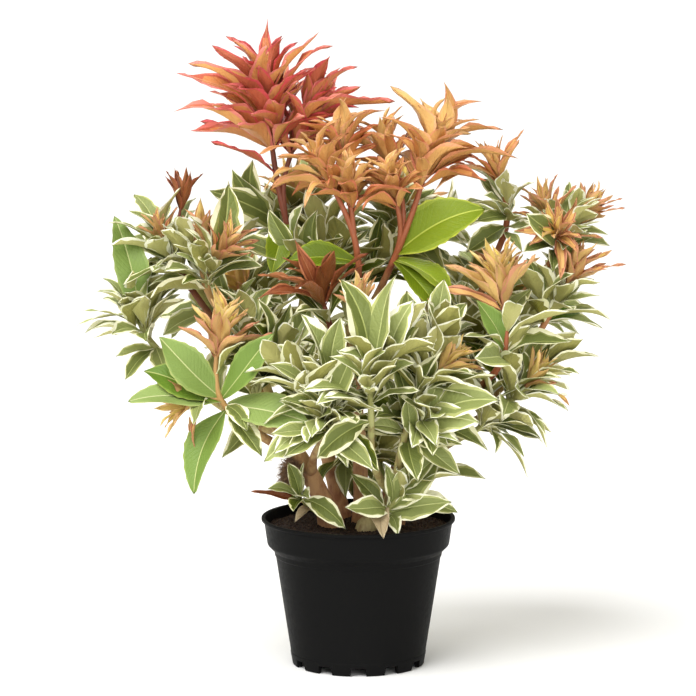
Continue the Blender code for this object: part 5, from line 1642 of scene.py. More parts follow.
def limb_tree(materials):
    """Round limbs along the edges of a mesh, with lengthwise relief in their bark."""
    inputs = {"Geometry": "geometry", "Sides": "count", "Ring Spacing": "number",
              "Relief Scale": "number", "Lengthwise": "number", "Seed": "number"}
    tree, nodes, start, end = new_tree("Limbs along paths", "GeometryNodeTree", inputs,
                                       {"Geometry": "geometry"})
    path = nodes.add("GeometryNodeMeshToCurve", {"Mesh": start["Geometry"]}).outputs["Curve"]
    bent = nodes.add("GeometryNodeCurveSplineType", {"Curve": path}, spline_type="CATMULL_ROM")
    even = nodes.add("GeometryNodeResampleCurve",
                     {"Curve": bent.outputs["Curve"], "Length": start["Ring Spacing"]}, mode="LENGTH")
    ring = nodes.add("GeometryNodeCurvePrimitiveCircle", {"Resolution": start["Sides"], "Radius": 1.0})
    skin = nodes.add("GeometryNodeCurveToMesh",
                     {"Curve": even.outputs["Curve"], "Profile Curve": ring.outputs["Curve"],
                      "Scale": nodes.attribute("thick"), "Fill Caps": True})
    place = nodes.add("GeometryNodeInputPosition").outputs["Position"]
    squeeze = nodes.add("ShaderNodeCombineXYZ", {0: 1.0, 1: 1.0, 2: start["Lengthwise"]}).outputs[0]
    drawn = nodes.vector("MULTIPLY", place, squeeze)
    ridges = nodes.add("ShaderNodeTexNoise",
                       {"Vector": drawn, "W": start["Seed"], "Scale": start["Relief Scale"],
                        "Detail": 3.0, "Roughness": 0.6}, noise_dimensions="4D").outputs["Fac"]
    swell = nodes.maths("MULTIPLY", nodes.maths("SUBTRACT", ridges, 0.5), nodes.attribute("relief"))
    normal = nodes.add("GeometryNodeInputNormal").outputs["Normal"]
    raised = nodes.add("GeometryNodeSetPosition",
                       {"Geometry": skin.outputs["Mesh"], "Offset": nodes.scaled(normal, swell)})
    smooth = nodes.add("GeometryNodeSetShadeSmooth", {"Geometry": raised.outputs["Geometry"]})
    real = nodes.add("GeometryNodeRealizeInstances", {"Geometry": smooth.outputs["Geometry"]})
    done = nodes.paint(real.outputs["Geometry"], materials, nodes.attribute("paint"))
    nodes.feed(end["Geometry"], done)
    return tree


Run = namedtuple("Run", "path radii relief tones paint")


def path_seeds(name, runs):
    """A mesh of open lines with radii, bark relief, tones and paint numbers at their points."""
    points, edges, thick, relief, tones, paint = [], [], [], [], [], []
    for run in runs:
        first, count = len(points), len(run.path)
        points += [point * MM for point in run.path]
        edges += [(first + i, first + i + 1) for i in range(count - 1)]
        thick += [radius * MM for radius in run.radii]
        relief += [run.relief] * count
        tones += run.tones
        paint += [run.paint] * count
    mesh = bpy.data.meshes.new(name)
    mesh.from_pydata(points, edges, [])
    store(mesh, "thick", "FLOAT", thick)
    store(mesh, "relief", "FLOAT", relief)
    store(mesh, TONE, "FLOAT_VECTOR", tones)
    store(mesh, "paint", "INT", paint)
    return mesh


def bark_material(bark):
    """Flaking bark in the tone that each limb carries, darker and redder in its furrows."""
    material, nodes, shader = shader_of("bark")
    grain = nodes.add("ShaderNodeGroup", node_tree=grain_group())
    for label, value in (("Scale", 240.0), ("Stretch", (1, 1, 0.25)), ("Depth", 0.0008),
                         ("Rough Low", 0.62), ("Rough High", 0.92)):
        nodes.feed(grain.inputs[label], value)
    tone = nodes.add("ShaderNodeAttribute", attribute_name=TONE).outputs["Vector"]
    place = nodes.add("ShaderNodeTexCoord").outputs["Object"]
    patches = nodes.add("ShaderNodeTexNoise", {"Vector": place, "Scale": 70.0, "Detail": 4.0})
    mask = nodes.maths("MULTIPLY", nodes.maths("ADD", grain.outputs["Mask"], patches.outputs["Fac"]),
                       0.5)
    flakes = nodes.add("ShaderNodeMapRange", {"Value": mask, "From Min": 0.40, "From Max": 0.58})
    furrow = nodes.vector("MULTIPLY", tone, tuple(bark.furrow_colour))
    whole = nodes.add("ShaderNodeMix", {0: flakes.outputs["Result"]}, data_type="RGBA")
    nodes.feed(whole.inputs[6], furrow)
    nodes.feed(whole.inputs[7], tone)
    nodes.feed(shader["Base Color"], whole.outputs[2])
    nodes.feed(shader["Roughness"], grain.outputs["Roughness"])
    nodes.feed(shader["Normal"], grain.outputs["Normal"])
    return material


def bark_tone(bark, trunk, share):
    """Tone of a trunk at a share of its height: pale or brown below, green above."""
    if trunk in GREEN_TRUNKS:
        return blended(bark.pale_colour, bark.green_colour, share ** FRONT_GREENING)
    return blended(bark.colour, bark.green_colour, share ** GREENING)


def tones_along(count, first, second, ease=1.0):
    """Tones of a limb's points from its foot's to its tip's."""
    return [blended(first, second, (step / (count - 1)) ** ease) for step in range(count)]


def build_limbs(plant, bark, twigs):
    """One mesh of trunks and boughs. A bough starts inside its trunk, with a collar."""
    runs, names = [], []
    shoots = {growth.mass.limb: growth.mass.name for growth in plant.growths}
    for trunk in TRUNKS:
        limb = plant.limbs[trunk.name]
        path = [limb.path[0] - Vector((0, 0, ROOT_DEPTH))] + limb.path
        radii = [limb.radii[0] * ROOT_SWELL] + limb.radii
        tones = [bark_tone(bark, trunk.name, step / len(path)) for step in range(len(path))]
        runs.append(Run(path, radii, bark.relief, tones, 0))
        names.append(trunk.name)
    for bough in BOUGHS:
        limb = plant.limbs[bough.name]
        inner, _, _ = plant.limbs[bough.trunk].place(bough.at)
        path = [inner] + limb.path
        radii = [limb.radii[0] * COLLAR] * 2 + limb.radii[1:]
        foot = bark_tone(bark, bough.trunk, bough.at)
        tip = tuple(getattr(twigs, twig_colour(shoots[bough.name])))
        relief = bark.relief * limb.radii[0] / TRUNKS[0].foot_radius
        runs.append(Run(path, radii, relief, tones_along(len(path), foot, tip, 2.0), 0))
        names.append(bough.name)
    settings = {"Sides": LIMB_SIDES, "Ring Spacing": LIMB_SPACING, "Relief Scale": bark.ridges,
                "Lengthwise": 0.22, "Seed": float(SEED)}
    mesh = grown_mesh("limbs", path_seeds("limbs", runs), limb_tree([bark_material(bark)]), settings)
    new_piece("limbs", mesh, *names, slot=names[0])


def twig_colour(mass):
    return TWIG_PAINT.get(mass, "green")


def build_twigs(plant, twigs):
    """Young stems under the leaves, each in the colour of its shoots."""
    materials = []
    for name in TWIG_COLOURS:
        colour = tuple(getattr(twigs, name))
        materials.append(grainy("twig_" + name, colour, 300.0, (1, 1, 0.3), 0.0006, (0.42, 0.62)))
    runs = []
    for growth in plant.growths:
        number = TWIG_COLOURS.index(twig_colour(growth.mass.name))
        for place, twig in enumerate(growth.twigs):
            path = ([growth.start] if place == 0 else []) + twig.path
            radii = [radius * twigs.stoutness for radius in twig.radii]
            radii = ([radii[0]] if place == 0 else []) + radii
            radii[-1] *= TWIG_POINT
            runs.append(Run(path, radii, twigs.relief, [(0, 0, 0)] * len(path), number))
        for side in growth.sides:
            radii = [SIDE_RADIUS * share for share in SIDE_TAPER]
            runs.append(Run(side.path, radii, twigs.relief / 2, [(0, 0, 0)] * len(side.path),
                            TWIG_COLOURS.index("green")))
    settings = {"Sides": TWIG_ROUND_SIDES, "Ring Spacing": TWIG_SPACING, "Relief Scale": 420.0,
                "Lengthwise": 0.5, "Seed": float(SEED)}
    mesh = grown_mesh("twigs", path_seeds("twigs", runs), limb_tree(materials), settings)
    mesh.attributes.remove(mesh.attributes[TONE])
    new_piece("twigs", mesh)


# Leaves


def half_widths(outline, shares):
    """Half width of a leaf at shares of its length, one at its widest."""
    power = math.log(0.5) / math.log(outline.widest)
    return [max(0.0, math.sin(math.pi * share ** power)) ** outline.blunt for share in shares]


def leaf_pattern(name, outline, rng, collection):
    """A flat leaf one unit long and two wide, closed, with each face's part of the leaf."""
    count = outline.segments
    shares = []
    for step in range(1, count):
        t = step / count
        shares.append(EVEN_ROWS * t + (1 - EVEN_ROWS) * (0.5 - 0.5 * math.cos(math.pi * t)))
    widths = half_widths(outline, shares)
    phase = rng.uniform(0, math.tau)
    leaf = bmesh.new()
    uv = leaf.loops.layers.uv.new("UVMap")
    part = leaf.faces.layers.int.new("part")
    flat = {}

    def corner(along, across, height, fraction):
        vertex = leaf.verts.new((along, across, height))
        flat[vertex] = (along, 0.5 + fraction / 2)
        return vertex

    def face(vertices, kind):
        made = leaf.faces.new(vertices)
        made[part] = PARTS.index(kind)
        made.smooth = True
        for loop in made.loops:
            loop[uv].uv = flat[loop.vert]

    rows, creases = [], []
    zones = [rng.random(), rng.random()]
    usual = (1 - outline.margin) * rng.uniform(*MARGIN_SPREAD)
    for number, (share, width) in enumerate(zip(shares, widths)):
        tooth = 1 + outline.teeth * (1 if number % 2 else -1) * (share > TOOTHED_FROM)
        rib = min(0.4, outline.rib / max(width, 0.15))
        cuts = []
        for _ in range(2):
            strip = usual * (1 + rng.uniform(-1, 1) * outline.ragged)
            cuts.append(max(rib + 0.12, 1 - strip / max(width, 0.25)))
        zones = [(zone + rng.random()) / 2 for zone in zones]
        inner = [cut - (cut - rib) * outline.zone * zone for cut, zone in zip(cuts, zones)]
        top, below = [], []
        for fraction in (-1, -cuts[0], -inner[0], -rib, rib, inner[1], cuts[1], 1):
            edge = fraction * width * (tooth if abs(fraction) == 1 else 1)
            lift = outline.wave * math.sin(math.tau * outline.waves * share + phase) * fraction ** 3
            top.append(corner(share, edge, lift, fraction))
            if fraction in (-cuts[0], cuts[1]):
                below.append(corner(share, edge, lift - outline.thick, fraction))
        keel = corner(share, 0, -outline.thick, 0)
        rows.append((top, [top[0], below[0], keel, below[1], top[-1]]))
    root = corner(0, 0, -outline.thick / 2, 0)
    tip = corner(1, 0, 0, 0)

    def kind_of(column, number):
        kind = TOP_PARTS[column]
        if kind == "blade":
            flush = outline.flush and number + 0.5 > count * (outline.flush + rng.uniform(-0.06, 0.06))
            return "streak" if flush else "blade"
        return kind

    for column in range(7):
        face((root, rows[0][0][column + 1], rows[0][0][column]), kind_of(column, 0))
        face((rows[-1][0][column], rows[-1][0][column + 1], tip), kind_of(column, count - 1))
    for column in range(4):
        face((root, rows[0][1][column], rows[0][1][column + 1]), UNDER_PARTS[column])
        face((tip, rows[-1][1][column + 1], rows[-1][1][column]), UNDER_PARTS[column])
    for number, (row, after) in enumerate(zip(rows, rows[1:])):
        for column in range(7):
            corners = (row[0][column], row[0][column + 1], after[0][column + 1], after[0][column])
            face(corners, kind_of(column, number + 1))
        for column in range(4):
            corners = (row[1][column], after[1][column], after[1][column + 1], row[1][column + 1])
            face(corners, UNDER_PARTS[column])
        creases.append((row[1][2], after[1][2]))
        creases.append((row[0][3], after[0][3]))
        creases.append((row[0][4], after[0][4]))
    for ends in creases:
        leaf.edges.get(ends).smooth = False
    bmesh.ops.recalc_face_normals(leaf, faces=leaf.faces)
    for edge in leaf.edges:
        if all(flat[vertex][1] in (0, 1) for vertex in edge.verts):
            edge.smooth = False
    made = shape(name, [], [], collection)
    leaf.to_mesh(made.data)
    leaf.free()


def leaf_tree(materials):
    """Lays a leaf pattern from the root to the tip of every point, bent, folded and turned."""
    inputs = {"Geometry": "geometry", "Patterns": "collection"}
    tree, nodes, start, end = new_tree("Leaves from root to tip", "GeometryNodeTree", inputs,
                                       {"Geometry": "geometry"})
    kinds = nodes.add("GeometryNodeCollectionInfo",
                      {"Collection": start["Patterns"], "Separate Children": True})
    placed = nodes.add("GeometryNodeInstanceOnPoints",
                       {"Points": start["Geometry"], "Instance": kinds.outputs["Instances"],
                        "Pick Instance": True, "Instance Index": nodes.attribute("pattern", "INT")})
    real = nodes.add("GeometryNodeRealizeInstances", {"Geometry": placed.outputs["Instances"]})
    place = nodes.add("GeometryNodeInputPosition").outputs["Position"]
    root = nodes.attribute("root", "FLOAT_VECTOR")
    chord = nodes.attribute("chord", "FLOAT_VECTOR")
    up = nodes.attribute("up", "FLOAT_VECTOR")
    local = nodes.vector("SUBTRACT", place, root)
    along, across, height = nodes.add("ShaderNodeSeparateXYZ", {0: local}).outputs
    length = nodes.vector("LENGTH", chord)
    side = nodes.vector("CROSS_PRODUCT", up, nodes.vector("NORMALIZE", chord))
    turn = nodes.maths("MULTIPLY", nodes.attribute("twist"), along)
    cosine, sine = nodes.maths("COSINE", turn), nodes.maths("SINE", turn)
    level = nodes.total(nodes.scaled(side, cosine), nodes.scaled(up, sine))
    upright = nodes.vector("SUBTRACT", nodes.scaled(up, cosine), nodes.scaled(side, sine))
    rest = nodes.maths("SUBTRACT", 1.0, along)
    bow = nodes.maths("MULTIPLY", nodes.maths("MULTIPLY", along, rest), 4.0)
    outward = nodes.maths("MULTIPLY_ADD", along, 2.0, -1.0)
    skew = nodes.maths("MULTIPLY_ADD", nodes.attribute("droop"), outward, 1.0)
    lift = nodes.maths("MULTIPLY", nodes.maths("MULTIPLY", bow, nodes.attribute("rise")), skew)
    wave = nodes.maths("SINE", nodes.maths("MULTIPLY", along, math.tau))
    hooked = nodes.maths("MULTIPLY", nodes.maths("MULTIPLY", wave, along), nodes.attribute("hook"))
    lift = nodes.maths("ADD", lift, hooked)
    aside = nodes.maths("MULTIPLY", nodes.attribute("sway"), bow)
    wide = nodes.maths("MULTIPLY", across, nodes.attribute("half"))
    folded = nodes.maths("MULTIPLY", nodes.maths("ABSOLUTE", wide), nodes.attribute("fold"))
    raised = nodes.maths("MULTIPLY_ADD", height, length, folded)
    final = nodes.total(root, nodes.scaled(chord, along), nodes.scaled(up, lift),
                        nodes.scaled(side, aside), nodes.scaled(level, wide),
                        nodes.scaled(upright, raised))
    laid = nodes.add("GeometryNodeSetPosition",
                     {"Geometry": real.outputs["Geometry"], "Position": final})
    number = nodes.maths("ADD", nodes.attribute("paint", "INT"), nodes.attribute("part", "INT"))
    nodes.feed(end["Geometry"], nodes.paint(laid.outputs["Geometry"], materials, number))
    return tree


def leaf_seeds(name, leaves, tints, rng):
    """One point for each leaf, with everything that the leaf tree reads."""
    mesh = bpy.data.meshes.new(name)
    mesh.from_pydata([leaf.root * MM for leaf in leaves], [], [])
    rows = []
    for leaf in leaves:
        habit = habit_of(leaf)
        chord = leaf.tip - leaf.root
        slim = min(1.0, LONG_LEAF / chord.length) ** 1.5
        up = (leaf.up - chord * leaf.up.dot(chord) / chord.length_squared).normalized()
        tint = min(0.999, max(0.0, tint_of(leaf, rng)))
        rows.append({
            "root": leaf.root * MM,
            "chord": chord * MM,
            "up": up,
            "half": leaf.width / 2 * slim * habit.broad * rng.uniform(0.85, 1.15) * MM,
            "rise": chord.length * math.tan(leaf.bend / 4) / 2 * habit.arch * MM,
            "droop": habit.droop + rng.uniform(-0.25, 0.25),
            "hook": chord.length * habit.hook * rng.uniform(-0.6, 1.4) * MM,
            "sway": chord.length * rng.uniform(-1, 1) * habit.sway * MM,
            "twist": rng.uniform(-1, 1) * habit.twist,
            "fold": habit.fold * rng.uniform(0.5, 1.4),
            "pattern": rng.randrange(PATTERN_COUNT),
            "paint": int(tint * tints) * len(PARTS),
        })
    for key, first in rows[0].items():
        kind = {Vector: "FLOAT_VECTOR", float: "FLOAT", int: "INT"}[type(first)]
        store(mesh, key, kind, [row[key] for row in rows])
    return mesh


def habit_of(leaf):
    """How a leaf hangs. One at the edge of the whole plant keeps to the rule's own bend."""
    habit = HABITS["fresh" if is_fresh(leaf) else leaf.kind]
    if all(inside_box(point, EDGE_ZONE) for point in leaf_solid(leaf)[0]):
        return habit
    return habit._replace(broad=0.85, arch=1.0, droop=0.0, hook=0.0, sway=0.0, twist=0.1, fold=0.1)


def tint_of(leaf, rng):
    """Where a leaf lies between its kind's two colours: by its age or, if old, its depth, darker deep in
    the crown partly with age and partly as painted shade.
    """
    if leaf.kind in AGED:
        return leaf.age * 0.8 + rng.uniform(-0.05, 0.3) + PINK_SHIFT * (leaf.mass in PINK_MASSES)
    if leaf.kind == "old":
        # Painted shade in part: the deeper a leaf lies in the crown, the nearer it is to the dark end.
        away = leaf.root.lerp(leaf.tip, 0.5) - HEART
        depth = 1 - Vector([a / b for a, b in zip(away, HEART_SIZE)]).length
        return depth * 0.7 + leaf.age * 0.35 + rng.uniform(-0.2, 0.35)
    return rng.random()


def is_fresh(leaf):
    """Whether a plain leaf is one of the bright green ones under the crown."""
    return leaf.kind == "plain" and leaf.mass in FRESH_MASSES


def paint_word(leaf, colours):
    """Which paint a leaf takes: its kind's own, or its mass's where the kind has none."""
    if is_fresh(leaf):
        return "fresh"
    if leaf.kind in PAINTS:
        return leaf.kind
    if leaf.mass in ORANGE_MASSES:
        return "tan"
    return colours[leaf.mass] if colours[leaf.mass] in PAINTS else "dark"


def build_leaves(plant, word, finish):
    """All leaves of one paint, in pieces small enough to export whole."""
    colours = {mass.name: mass.colour for mass in MASSES}
    leaves = []
    for growth in plant.growths:
        leaves += [leaf for leaf in growth.leaves if paint_word(leaf, colours) == word]
    if not leaves:
        raise RuntimeError(f"no leaves are painted {word}")
    rng = random.Random(SEED + len(word))
    paint = PAINTS[word]
    patterns = bpy.data.collections.new(word + "_patterns")
    for number in range(PATTERN_COUNT):
        leaf_pattern(f"{word}_{number}", OUTLINES[paint.outline], rng, patterns)
    materials = []
    for tint in range(TINTS):
        share = tint / (TINTS - 1)
        for part in PARTS:
            first, second = getattr(finish, part), getattr(finish, part + "_second")
            colour = blended(first, second, share)
            materials.append(leaf_material(f"{word}_{part}_{tint}", colour, finish.gloss,
                                           paint.veins, paint.depth))
    tree = leaf_tree(materials)
    home = {"old": "green"}.get(word, word)
    for start in range(0, len(leaves), LEAVES_A_PIECE):
        some = leaves[start:start + LEAVES_A_PIECE]
        name = f"{word}_leaves_{start // LEAVES_A_PIECE}"
        mesh = grown_mesh(name, leaf_seeds(name, some, TINTS, rng), tree, {"Patterns": patterns})
        masses = []
        if start == 0:
            masses = [mass.name for mass in MASSES if mass.colour == home]
        new_piece(name, mesh, *masses, slot=(masses or [some[0].mass])[0])
    discard(patterns)


# Stage


def studio_light(name, kind, place, aim, size, power):
    """A square lamp of that size, or a broad distant one of that angle."""
    data = bpy.data.lights.new(name, kind)
    if kind == "AREA":
        data.size = size
    else:
        data.angle = size
    data.energy = power
    light = bpy.data.objects.new(name, data)
    light.location = place
    light.rotation_euler = (Vector(aim) - Vector(place)).to_track_quat("-Z", "Y").to_euler()
    bpy.context.scene.collection.objects.link(light)


def build_stage(studio):
    """Pale floor, soft lights and the camera at the photograph's angle."""
    floor = shape("floor", *lathe([Vector((0, 0)), Vector((studio.floor_radius, 0))], 96))
    if floor.data.polygons[0].normal.z < 0:
        floor.data.flip_normals()
    floor.data.materials.append(grainy("pale_floor", studio.floor_colour, 6.0, (1, 1, 1), 0.0002,
                                       (0.75, 0.9), specular=0.1))
    world = bpy.data.worlds.new("studio")
    bpy.context.scene.world = world
    world.use_nodes = True
    nodes = Nodes(world.node_tree)
    background = world.node_tree.nodes["Background"].inputs
    seen = nodes.add("ShaderNodeLightPath").outputs["Is Camera Ray"]
    tinted = nodes.add("ShaderNodeMixRGB", {"Fac": seen, "Color2": (1, 1, 1, 1)})
    tinted.inputs["Color1"].default_value = (*studio.ambient_colour, 1)
    nodes.feed(background["Color"], tinted.outputs["Color"])
    strength = nodes.maths("MULTIPLY_ADD", seen, 1 - studio.ambient, studio.ambient)
    nodes.feed(background["Strength"], strength)
    middle = (0, 0, 0.35)
    studio_light("key", "SUN", (-1.2, -1.5, 2.6), middle, studio.softness, studio.key)
    studio_light("fill", "AREA", (0.9, -3.4, 1.2), middle, 2.0, studio.fill)
    studio_light("back", "AREA", (0.5, 1.6, 2.6), middle, 1.2, studio.back)
    data = bpy.data.cameras.new("camera")
    data.sensor_width = SENSOR
    data.lens = SENSOR * studio.distance / studio.frame_width
    data.clip_end = 4 * studio.floor_radius
    camera = bpy.data.objects.new("camera", data)
    tilt = studio.elevation
    back = Vector((0, -math.cos(tilt), math.sin(tilt)))
    camera.location = Vector(studio.aim) + back * studio.distance
    camera.rotation_euler = (-back).to_track_quat("-Z", "Y").to_euler()
    bpy.context.scene.collection.objects.link(camera)
    bpy.context.scene.camera = camera
    bpy.context.scene.view_settings.view_transform = "Standard"


# Settings


def length_setting(name, description, default):
    return FloatProperty(name=name, description=description, default=default, min=0,
                         unit="LENGTH", subtype="DISTANCE", precision=4)


def colour_setting(name, description, default):
    return FloatVectorProperty(name=name, description=description, default=default, size=3,
                               min=0, max=1, subtype="COLOR")


def share_setting(name, description, default, high=1.0):
    return FloatProperty(name=name, description=description, default=default, min=0, max=high,
                         subtype="FACTOR")


def count_setting(name, description, default):
    return IntProperty(name=name, description=description, default=default, min=1)


class PIERIS_PG_pot(bpy.types.PropertyGroup):
    lip_height: length_setting("Lip height", "Height of the small lip", 0.003)
    band_top_radius: length_setting("Band top", "Radius of the band under the lip", 0.0924)
    band_foot_radius: length_setting("Band foot", "Radius of the band's foot", 0.0886)
    band_foot: length_setting("Band foot height", "Where the band ends", 0.119)
    collar_radius: length_setting("Collar", "Radius of the ring under the band", 0.0826)
    collar_foot: length_setting("Collar foot", "Where that ring ends", 0.1085)
    shoulder_radius: length_setting("Shoulder", "Radius of the body under the ring", 0.081)
    shoulder: length_setting("Shoulder height", "Where the body starts", 0.113)
    foot_radius: length_setting("Foot", "Radius of the body at the floor", 0.0645)
    foot_line: length_setting("Foot line", "Height of the fine line above the feet", 0.012)
    wall: length_setting("Wall", "Thickness of the wall", 0.0015)
    floor: length_setting("Floor height", "Underside of the pot's floor", 0.0065)
    foot_ring: length_setting("Foot ring", "Width of the ring of feet", 0.005)
    disc_radius: length_setting("Disc", "Radius of the disc under the middle", 0.026)
    groove: length_setting("Groove", "Depth of the fine lines", 0.0007)
    edge_round: length_setting("Edges", "How far edges are rounded", 0.0009)
    feet: count_setting("Feet", "Feet round the base", 12)
    notch_foot: length_setting("Gap at the floor", "Width of the gap between feet", 0.017)
    notch_top: length_setting("Gap at its top", "Width at the top of the gap", 0.013)
    notch_height: length_setting("Gap height", "Height of the gap", 0.0082)
    notch_over: length_setting("Overrun", "How far the cutters overrun", 0.004)
    drains: count_setting("Drains", "Holes in the floor", 8)
    drain_radius: length_setting("Drain radius", "Radius of a hole", 0.0035)
    drain_circle: length_setting("Drain circle", "Radius on which the holes lie", 0.044)
    colour: colour_setting("Colour", "Black plastic", (0.0065, 0.0065, 0.0065))
    gloss: share_setting("Roughness", "Roughness of the plastic", 0.46)
    specular: share_setting("Shine", "Specular level of the plastic", 0.03)


class PIERIS_PG_soil(bpy.types.PropertyGroup):
    dip: length_setting("Dip", "How far the peat falls at the wall", 0.0016)
    depth: length_setting("Depth", "Depth of the peat that is modelled", 0.012)
    taper: length_setting("Taper", "How much narrower it is down there", 0.0035)
    roughness: length_setting("Unevenness", "Height of the waves in the peat", 0.0011)
    crumbs: count_setting("Crumbs", "Loose crumbs on top", 2600)
    smallest: length_setting("Smallest", "Smallest crumb", 0.0009)
    largest: length_setting("Largest", "Largest crumb", 0.0042)
    colour: colour_setting("Colour", "Moist peat", (0.0075, 0.0036, 0.0026))
    pale_colour: colour_setting("Pale colour", "Dry bits in the peat", (0.055, 0.025, 0.014))


class PIERIS_PG_knot(bpy.types.PropertyGroup):
    density: FloatProperty(name="Density", description="Fibres for a square metre", default=9e5)
    shortest: length_setting("Shortest", "Shortest fibre", 0.004)
    longest: length_setting("Longest", "Longest fibre", 0.010)
    colour: colour_setting("Colour", "Dead twigs", (0.15, 0.090, 0.055))
    pale_colour: colour_setting("Pale colour", "Dry fibres", (0.30, 0.19, 0.12))


class PIERIS_PG_bark(bpy.types.PropertyGroup):
    relief: length_setting("Relief", "Depth of the ridges on a trunk", 0.0017)
    ridges: FloatProperty(name="Ridges", description="Scale of the ridges", default=230.0)
    colour: colour_setting("Colour", "Light brown bark", (0.55, 0.300, 0.150))
    furrow_colour: colour_setting("Furrows", "What the tone is multiplied by in furrows",
                                  (0.62, 0.46, 0.42))
    green_colour: colour_setting("Green colour", "Young bark", (0.40, 0.38, 0.13))
    pale_colour: colour_setting("Pale colour", "Peeling foot of the front stem",
                                (0.54, 0.43, 0.24))


class PIERIS_PG_twigs(bpy.types.PropertyGroup):
    stoutness: share_setting("Stoutness", "Thickness against the solids' twigs", 1.12, 2.0)
    relief: length_setting("Relief", "Unevenness of a twig", 0.0009)
    side_shoots: count_setting("Side shoots", "Side shoots tried on each twig", 4)
    maroon: colour_setting("Maroon", "Stems of the red crown", (0.18, 0.045, 0.020))
    red: colour_setting("Red", "Stems of the tan crown", (0.34, 0.095, 0.036))
    orange: colour_setting("Orange", "Stems on the right", (0.46, 0.200, 0.075))
    brown: colour_setting("Brown", "Stems on the left", (0.48, 0.27, 0.095))
    green: colour_setting("Green", "Stems of the old leaves", (0.36, 0.36, 0.13))


def paint_settings(word, paint):
    """A property group with the two ends of colour of each part of a leaf."""
    settings = {}
    for part in PARTS:
        first, second = getattr(paint, part)
        label = part.capitalize()
        settings[part] = colour_setting(label, f"{label} at one end of the {word} leaves", first)
        settings[part + "_second"] = colour_setting(label + ", other end",
                                                    f"{label} at the other end", second)
    settings["gloss"] = share_setting("Roughness", "Roughness of the leaf", paint.gloss)
    return type("PIERIS_PG_" + word, (bpy.types.PropertyGroup,), {"__annotations__": settings})


class PIERIS_PG_studio(bpy.types.PropertyGroup):
    elevation: FloatProperty(name="Elevation", description="Camera above the horizon",
                             default=math.radians(8.7), subtype="ANGLE", unit="ROTATION")
    distance: length_setting("Distance", "Camera to the plant", 4.0)
    frame_width: length_setting("Frame", "Width of the frame at the plant", 0.678)
    aim: FloatVectorProperty(name="Aim", description="Middle of the frame", size=3,
                             default=(-0.0101, 0, 0.313), subtype="TRANSLATION", unit="LENGTH")
    floor_radius: length_setting("Floor", "Radius of the floor", 30.0)
    floor_colour: colour_setting("Floor colour", "Pale floor", (0.93, 0.93, 0.93))
    ambient: share_setting("Ambient", "Light from all round", 0.44, 4.0)
    ambient_colour: colour_setting("Ambient colour", "Its colour on the plant", (1, 0.97, 0.87))
    key: FloatProperty(name="Key", description="Strength of the broad key light", default=3.60)
    softness: FloatProperty(name="Softness", description="Angle of the key light",
                            default=math.radians(50), subtype="ANGLE", unit="ROTATION")
    fill: FloatProperty(name="Fill", description="Power of the lamp by the camera", default=44.0,
                        unit="POWER")
    back: FloatProperty(name="Back", description="Power of the lamp behind", default=24.0,
                        unit="POWER")


PAINT_GROUPS = {word: paint_settings(word, paint) for word, paint in PAINTS.items()}
SETTINGS = {
    "pieris_pot": PIERIS_PG_pot,
    "pieris_soil": PIERIS_PG_soil,
    "pieris_knot": PIERIS_PG_knot,
    "pieris_bark": PIERIS_PG_bark,
    "pieris_twigs": PIERIS_PG_twigs,
    **{"pieris_" + word: group for word, group in PAINT_GROUPS.items()},
    "pieris_studio": PIERIS_PG_studio,
}


# Operators and panel


def plant_of(scene):
    return grown_plant(scene.pieris_twigs.side_shoots)


class PIERIS_OT_pot(bpy.types.Operator):
    """Turn the nursery pot and cut its feet and drain holes"""

    bl_idname = "pieris.pot"
    bl_label = "Pot"

    def execute(self, context):
        build_pot(context.scene.pieris_pot)
        return {"FINISHED"}


class PIERIS_OT_soil(bpy.types.Operator):
    """Fill the pot with rough peat and crumbs"""

    bl_idname = "pieris.soil"
    bl_label = "Soil"

    def execute(self, context):
        build_soil(context.scene.pieris_soil)
        return {"FINISHED"}


class PIERIS_OT_limbs(bpy.types.Operator):
    """Make the trunks and boughs with their bark"""

    bl_idname = "pieris.limbs"
    bl_label = "Trunks and boughs"

    def execute(self, context):
        scene = context.scene
        build_limbs(plant_of(scene), scene.pieris_bark, scene.pieris_twigs)
        return {"FINISHED"}


class PIERIS_OT_twigs(bpy.types.Operator):
    """Make the young stems"""

    bl_idname = "pieris.twigs"
    bl_label = "Twigs"

    def execute(self, context):
        scene = context.scene
        build_twigs(plant_of(scene), scene.pieris_twigs)
        return {"FINISHED"}


class PIERIS_OT_knot(bpy.types.Operator):
    """Make the dry knot on the left trunk"""

    bl_idname = "pieris.knot"
    bl_label = "Dry knot"

    def execute(self, context):
        build_knot(context.scene.pieris_knot)
        return {"FINISHED"}


class PIERIS_OT_young_leaves(bpy.types.Operator):
    """Lay the red, tan, bronze and dark young leaves"""

    bl_idname = "pieris.young_leaves"
    bl_label = "Young leaves"

    def execute(self, context):
        scene = context.scene
        for word in YOUNG_PAINTS:
            build_leaves(plant_of(scene), word, getattr(scene, "pieris_" + word))
        return {"FINISHED"}


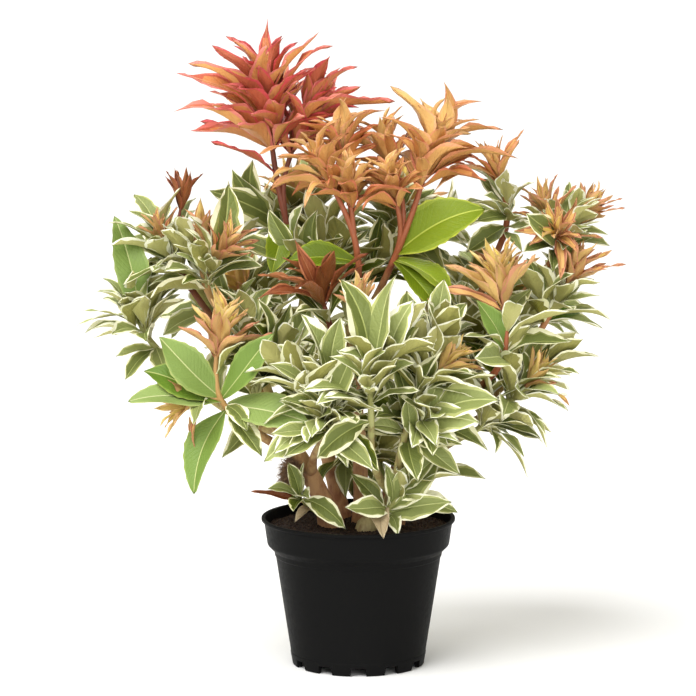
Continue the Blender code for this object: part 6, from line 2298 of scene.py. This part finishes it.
class PIERIS_OT_grown_leaves(bpy.types.Operator):
    """Lay the cream-edged old leaves and the plain green ones"""

    bl_idname = "pieris.grown_leaves"
    bl_label = "Grown leaves"

    def execute(self, context):
        scene = context.scene
        for word in GROWN_PAINTS:
            build_leaves(plant_of(scene), word, getattr(scene, "pieris_" + word))
        return {"FINISHED"}


class PIERIS_OT_stage(bpy.types.Operator):
    """Set the floor, the lights and the camera"""

    bl_idname = "pieris.stage"
    bl_label = "Stage"

    def execute(self, context):
        build_stage(context.scene.pieris_studio)
        return {"FINISHED"}


STEPS = (
    (PIERIS_OT_pot, ("pieris_pot",)),
    (PIERIS_OT_soil, ("pieris_soil",)),
    (PIERIS_OT_limbs, ("pieris_bark",)),
    (PIERIS_OT_twigs, ("pieris_twigs",)),
    (PIERIS_OT_knot, ("pieris_knot",)),
    (PIERIS_OT_young_leaves, tuple("pieris_" + word for word in YOUNG_PAINTS)),
    (PIERIS_OT_grown_leaves, tuple("pieris_" + word for word in GROWN_PAINTS)),
    (PIERIS_OT_stage, ("pieris_studio",)),
)


class PIERIS_PT_panel(bpy.types.Panel):
    """Lists every piece with its settings"""

    bl_idname = "PIERIS_PT_panel"
    bl_label = "Potted pieris"
    bl_space_type = "VIEW_3D"
    bl_region_type = "UI"
    bl_category = "Pieris"

    def draw(self, context):
        for operator, groups in STEPS:
            box = self.layout.box()
            box.operator(operator.bl_idname)
            for group in groups:
                settings = getattr(context.scene, group)
                for name in settings.bl_rna.properties.keys():
                    if name not in ("rna_type", "name"):
                        box.prop(settings, name)


CLASSES = (*SETTINGS.values(), *(operator for operator, _ in STEPS), PIERIS_PT_panel)


def register():
    for item in CLASSES:
        bpy.utils.register_class(item)
    for name, group in SETTINGS.items():
        setattr(bpy.types.Scene, name, PointerProperty(type=group))


def unregister():
    for name in SETTINGS:
        delattr(bpy.types.Scene, name)
    for item in reversed(CLASSES):
        bpy.utils.unregister_class(item)


def main():
    register()
    for operator, _ in STEPS:
        group, name = operator.bl_idname.split(".")
        getattr(getattr(bpy.ops, group), name)()


if __name__ == "__main__":
    main()
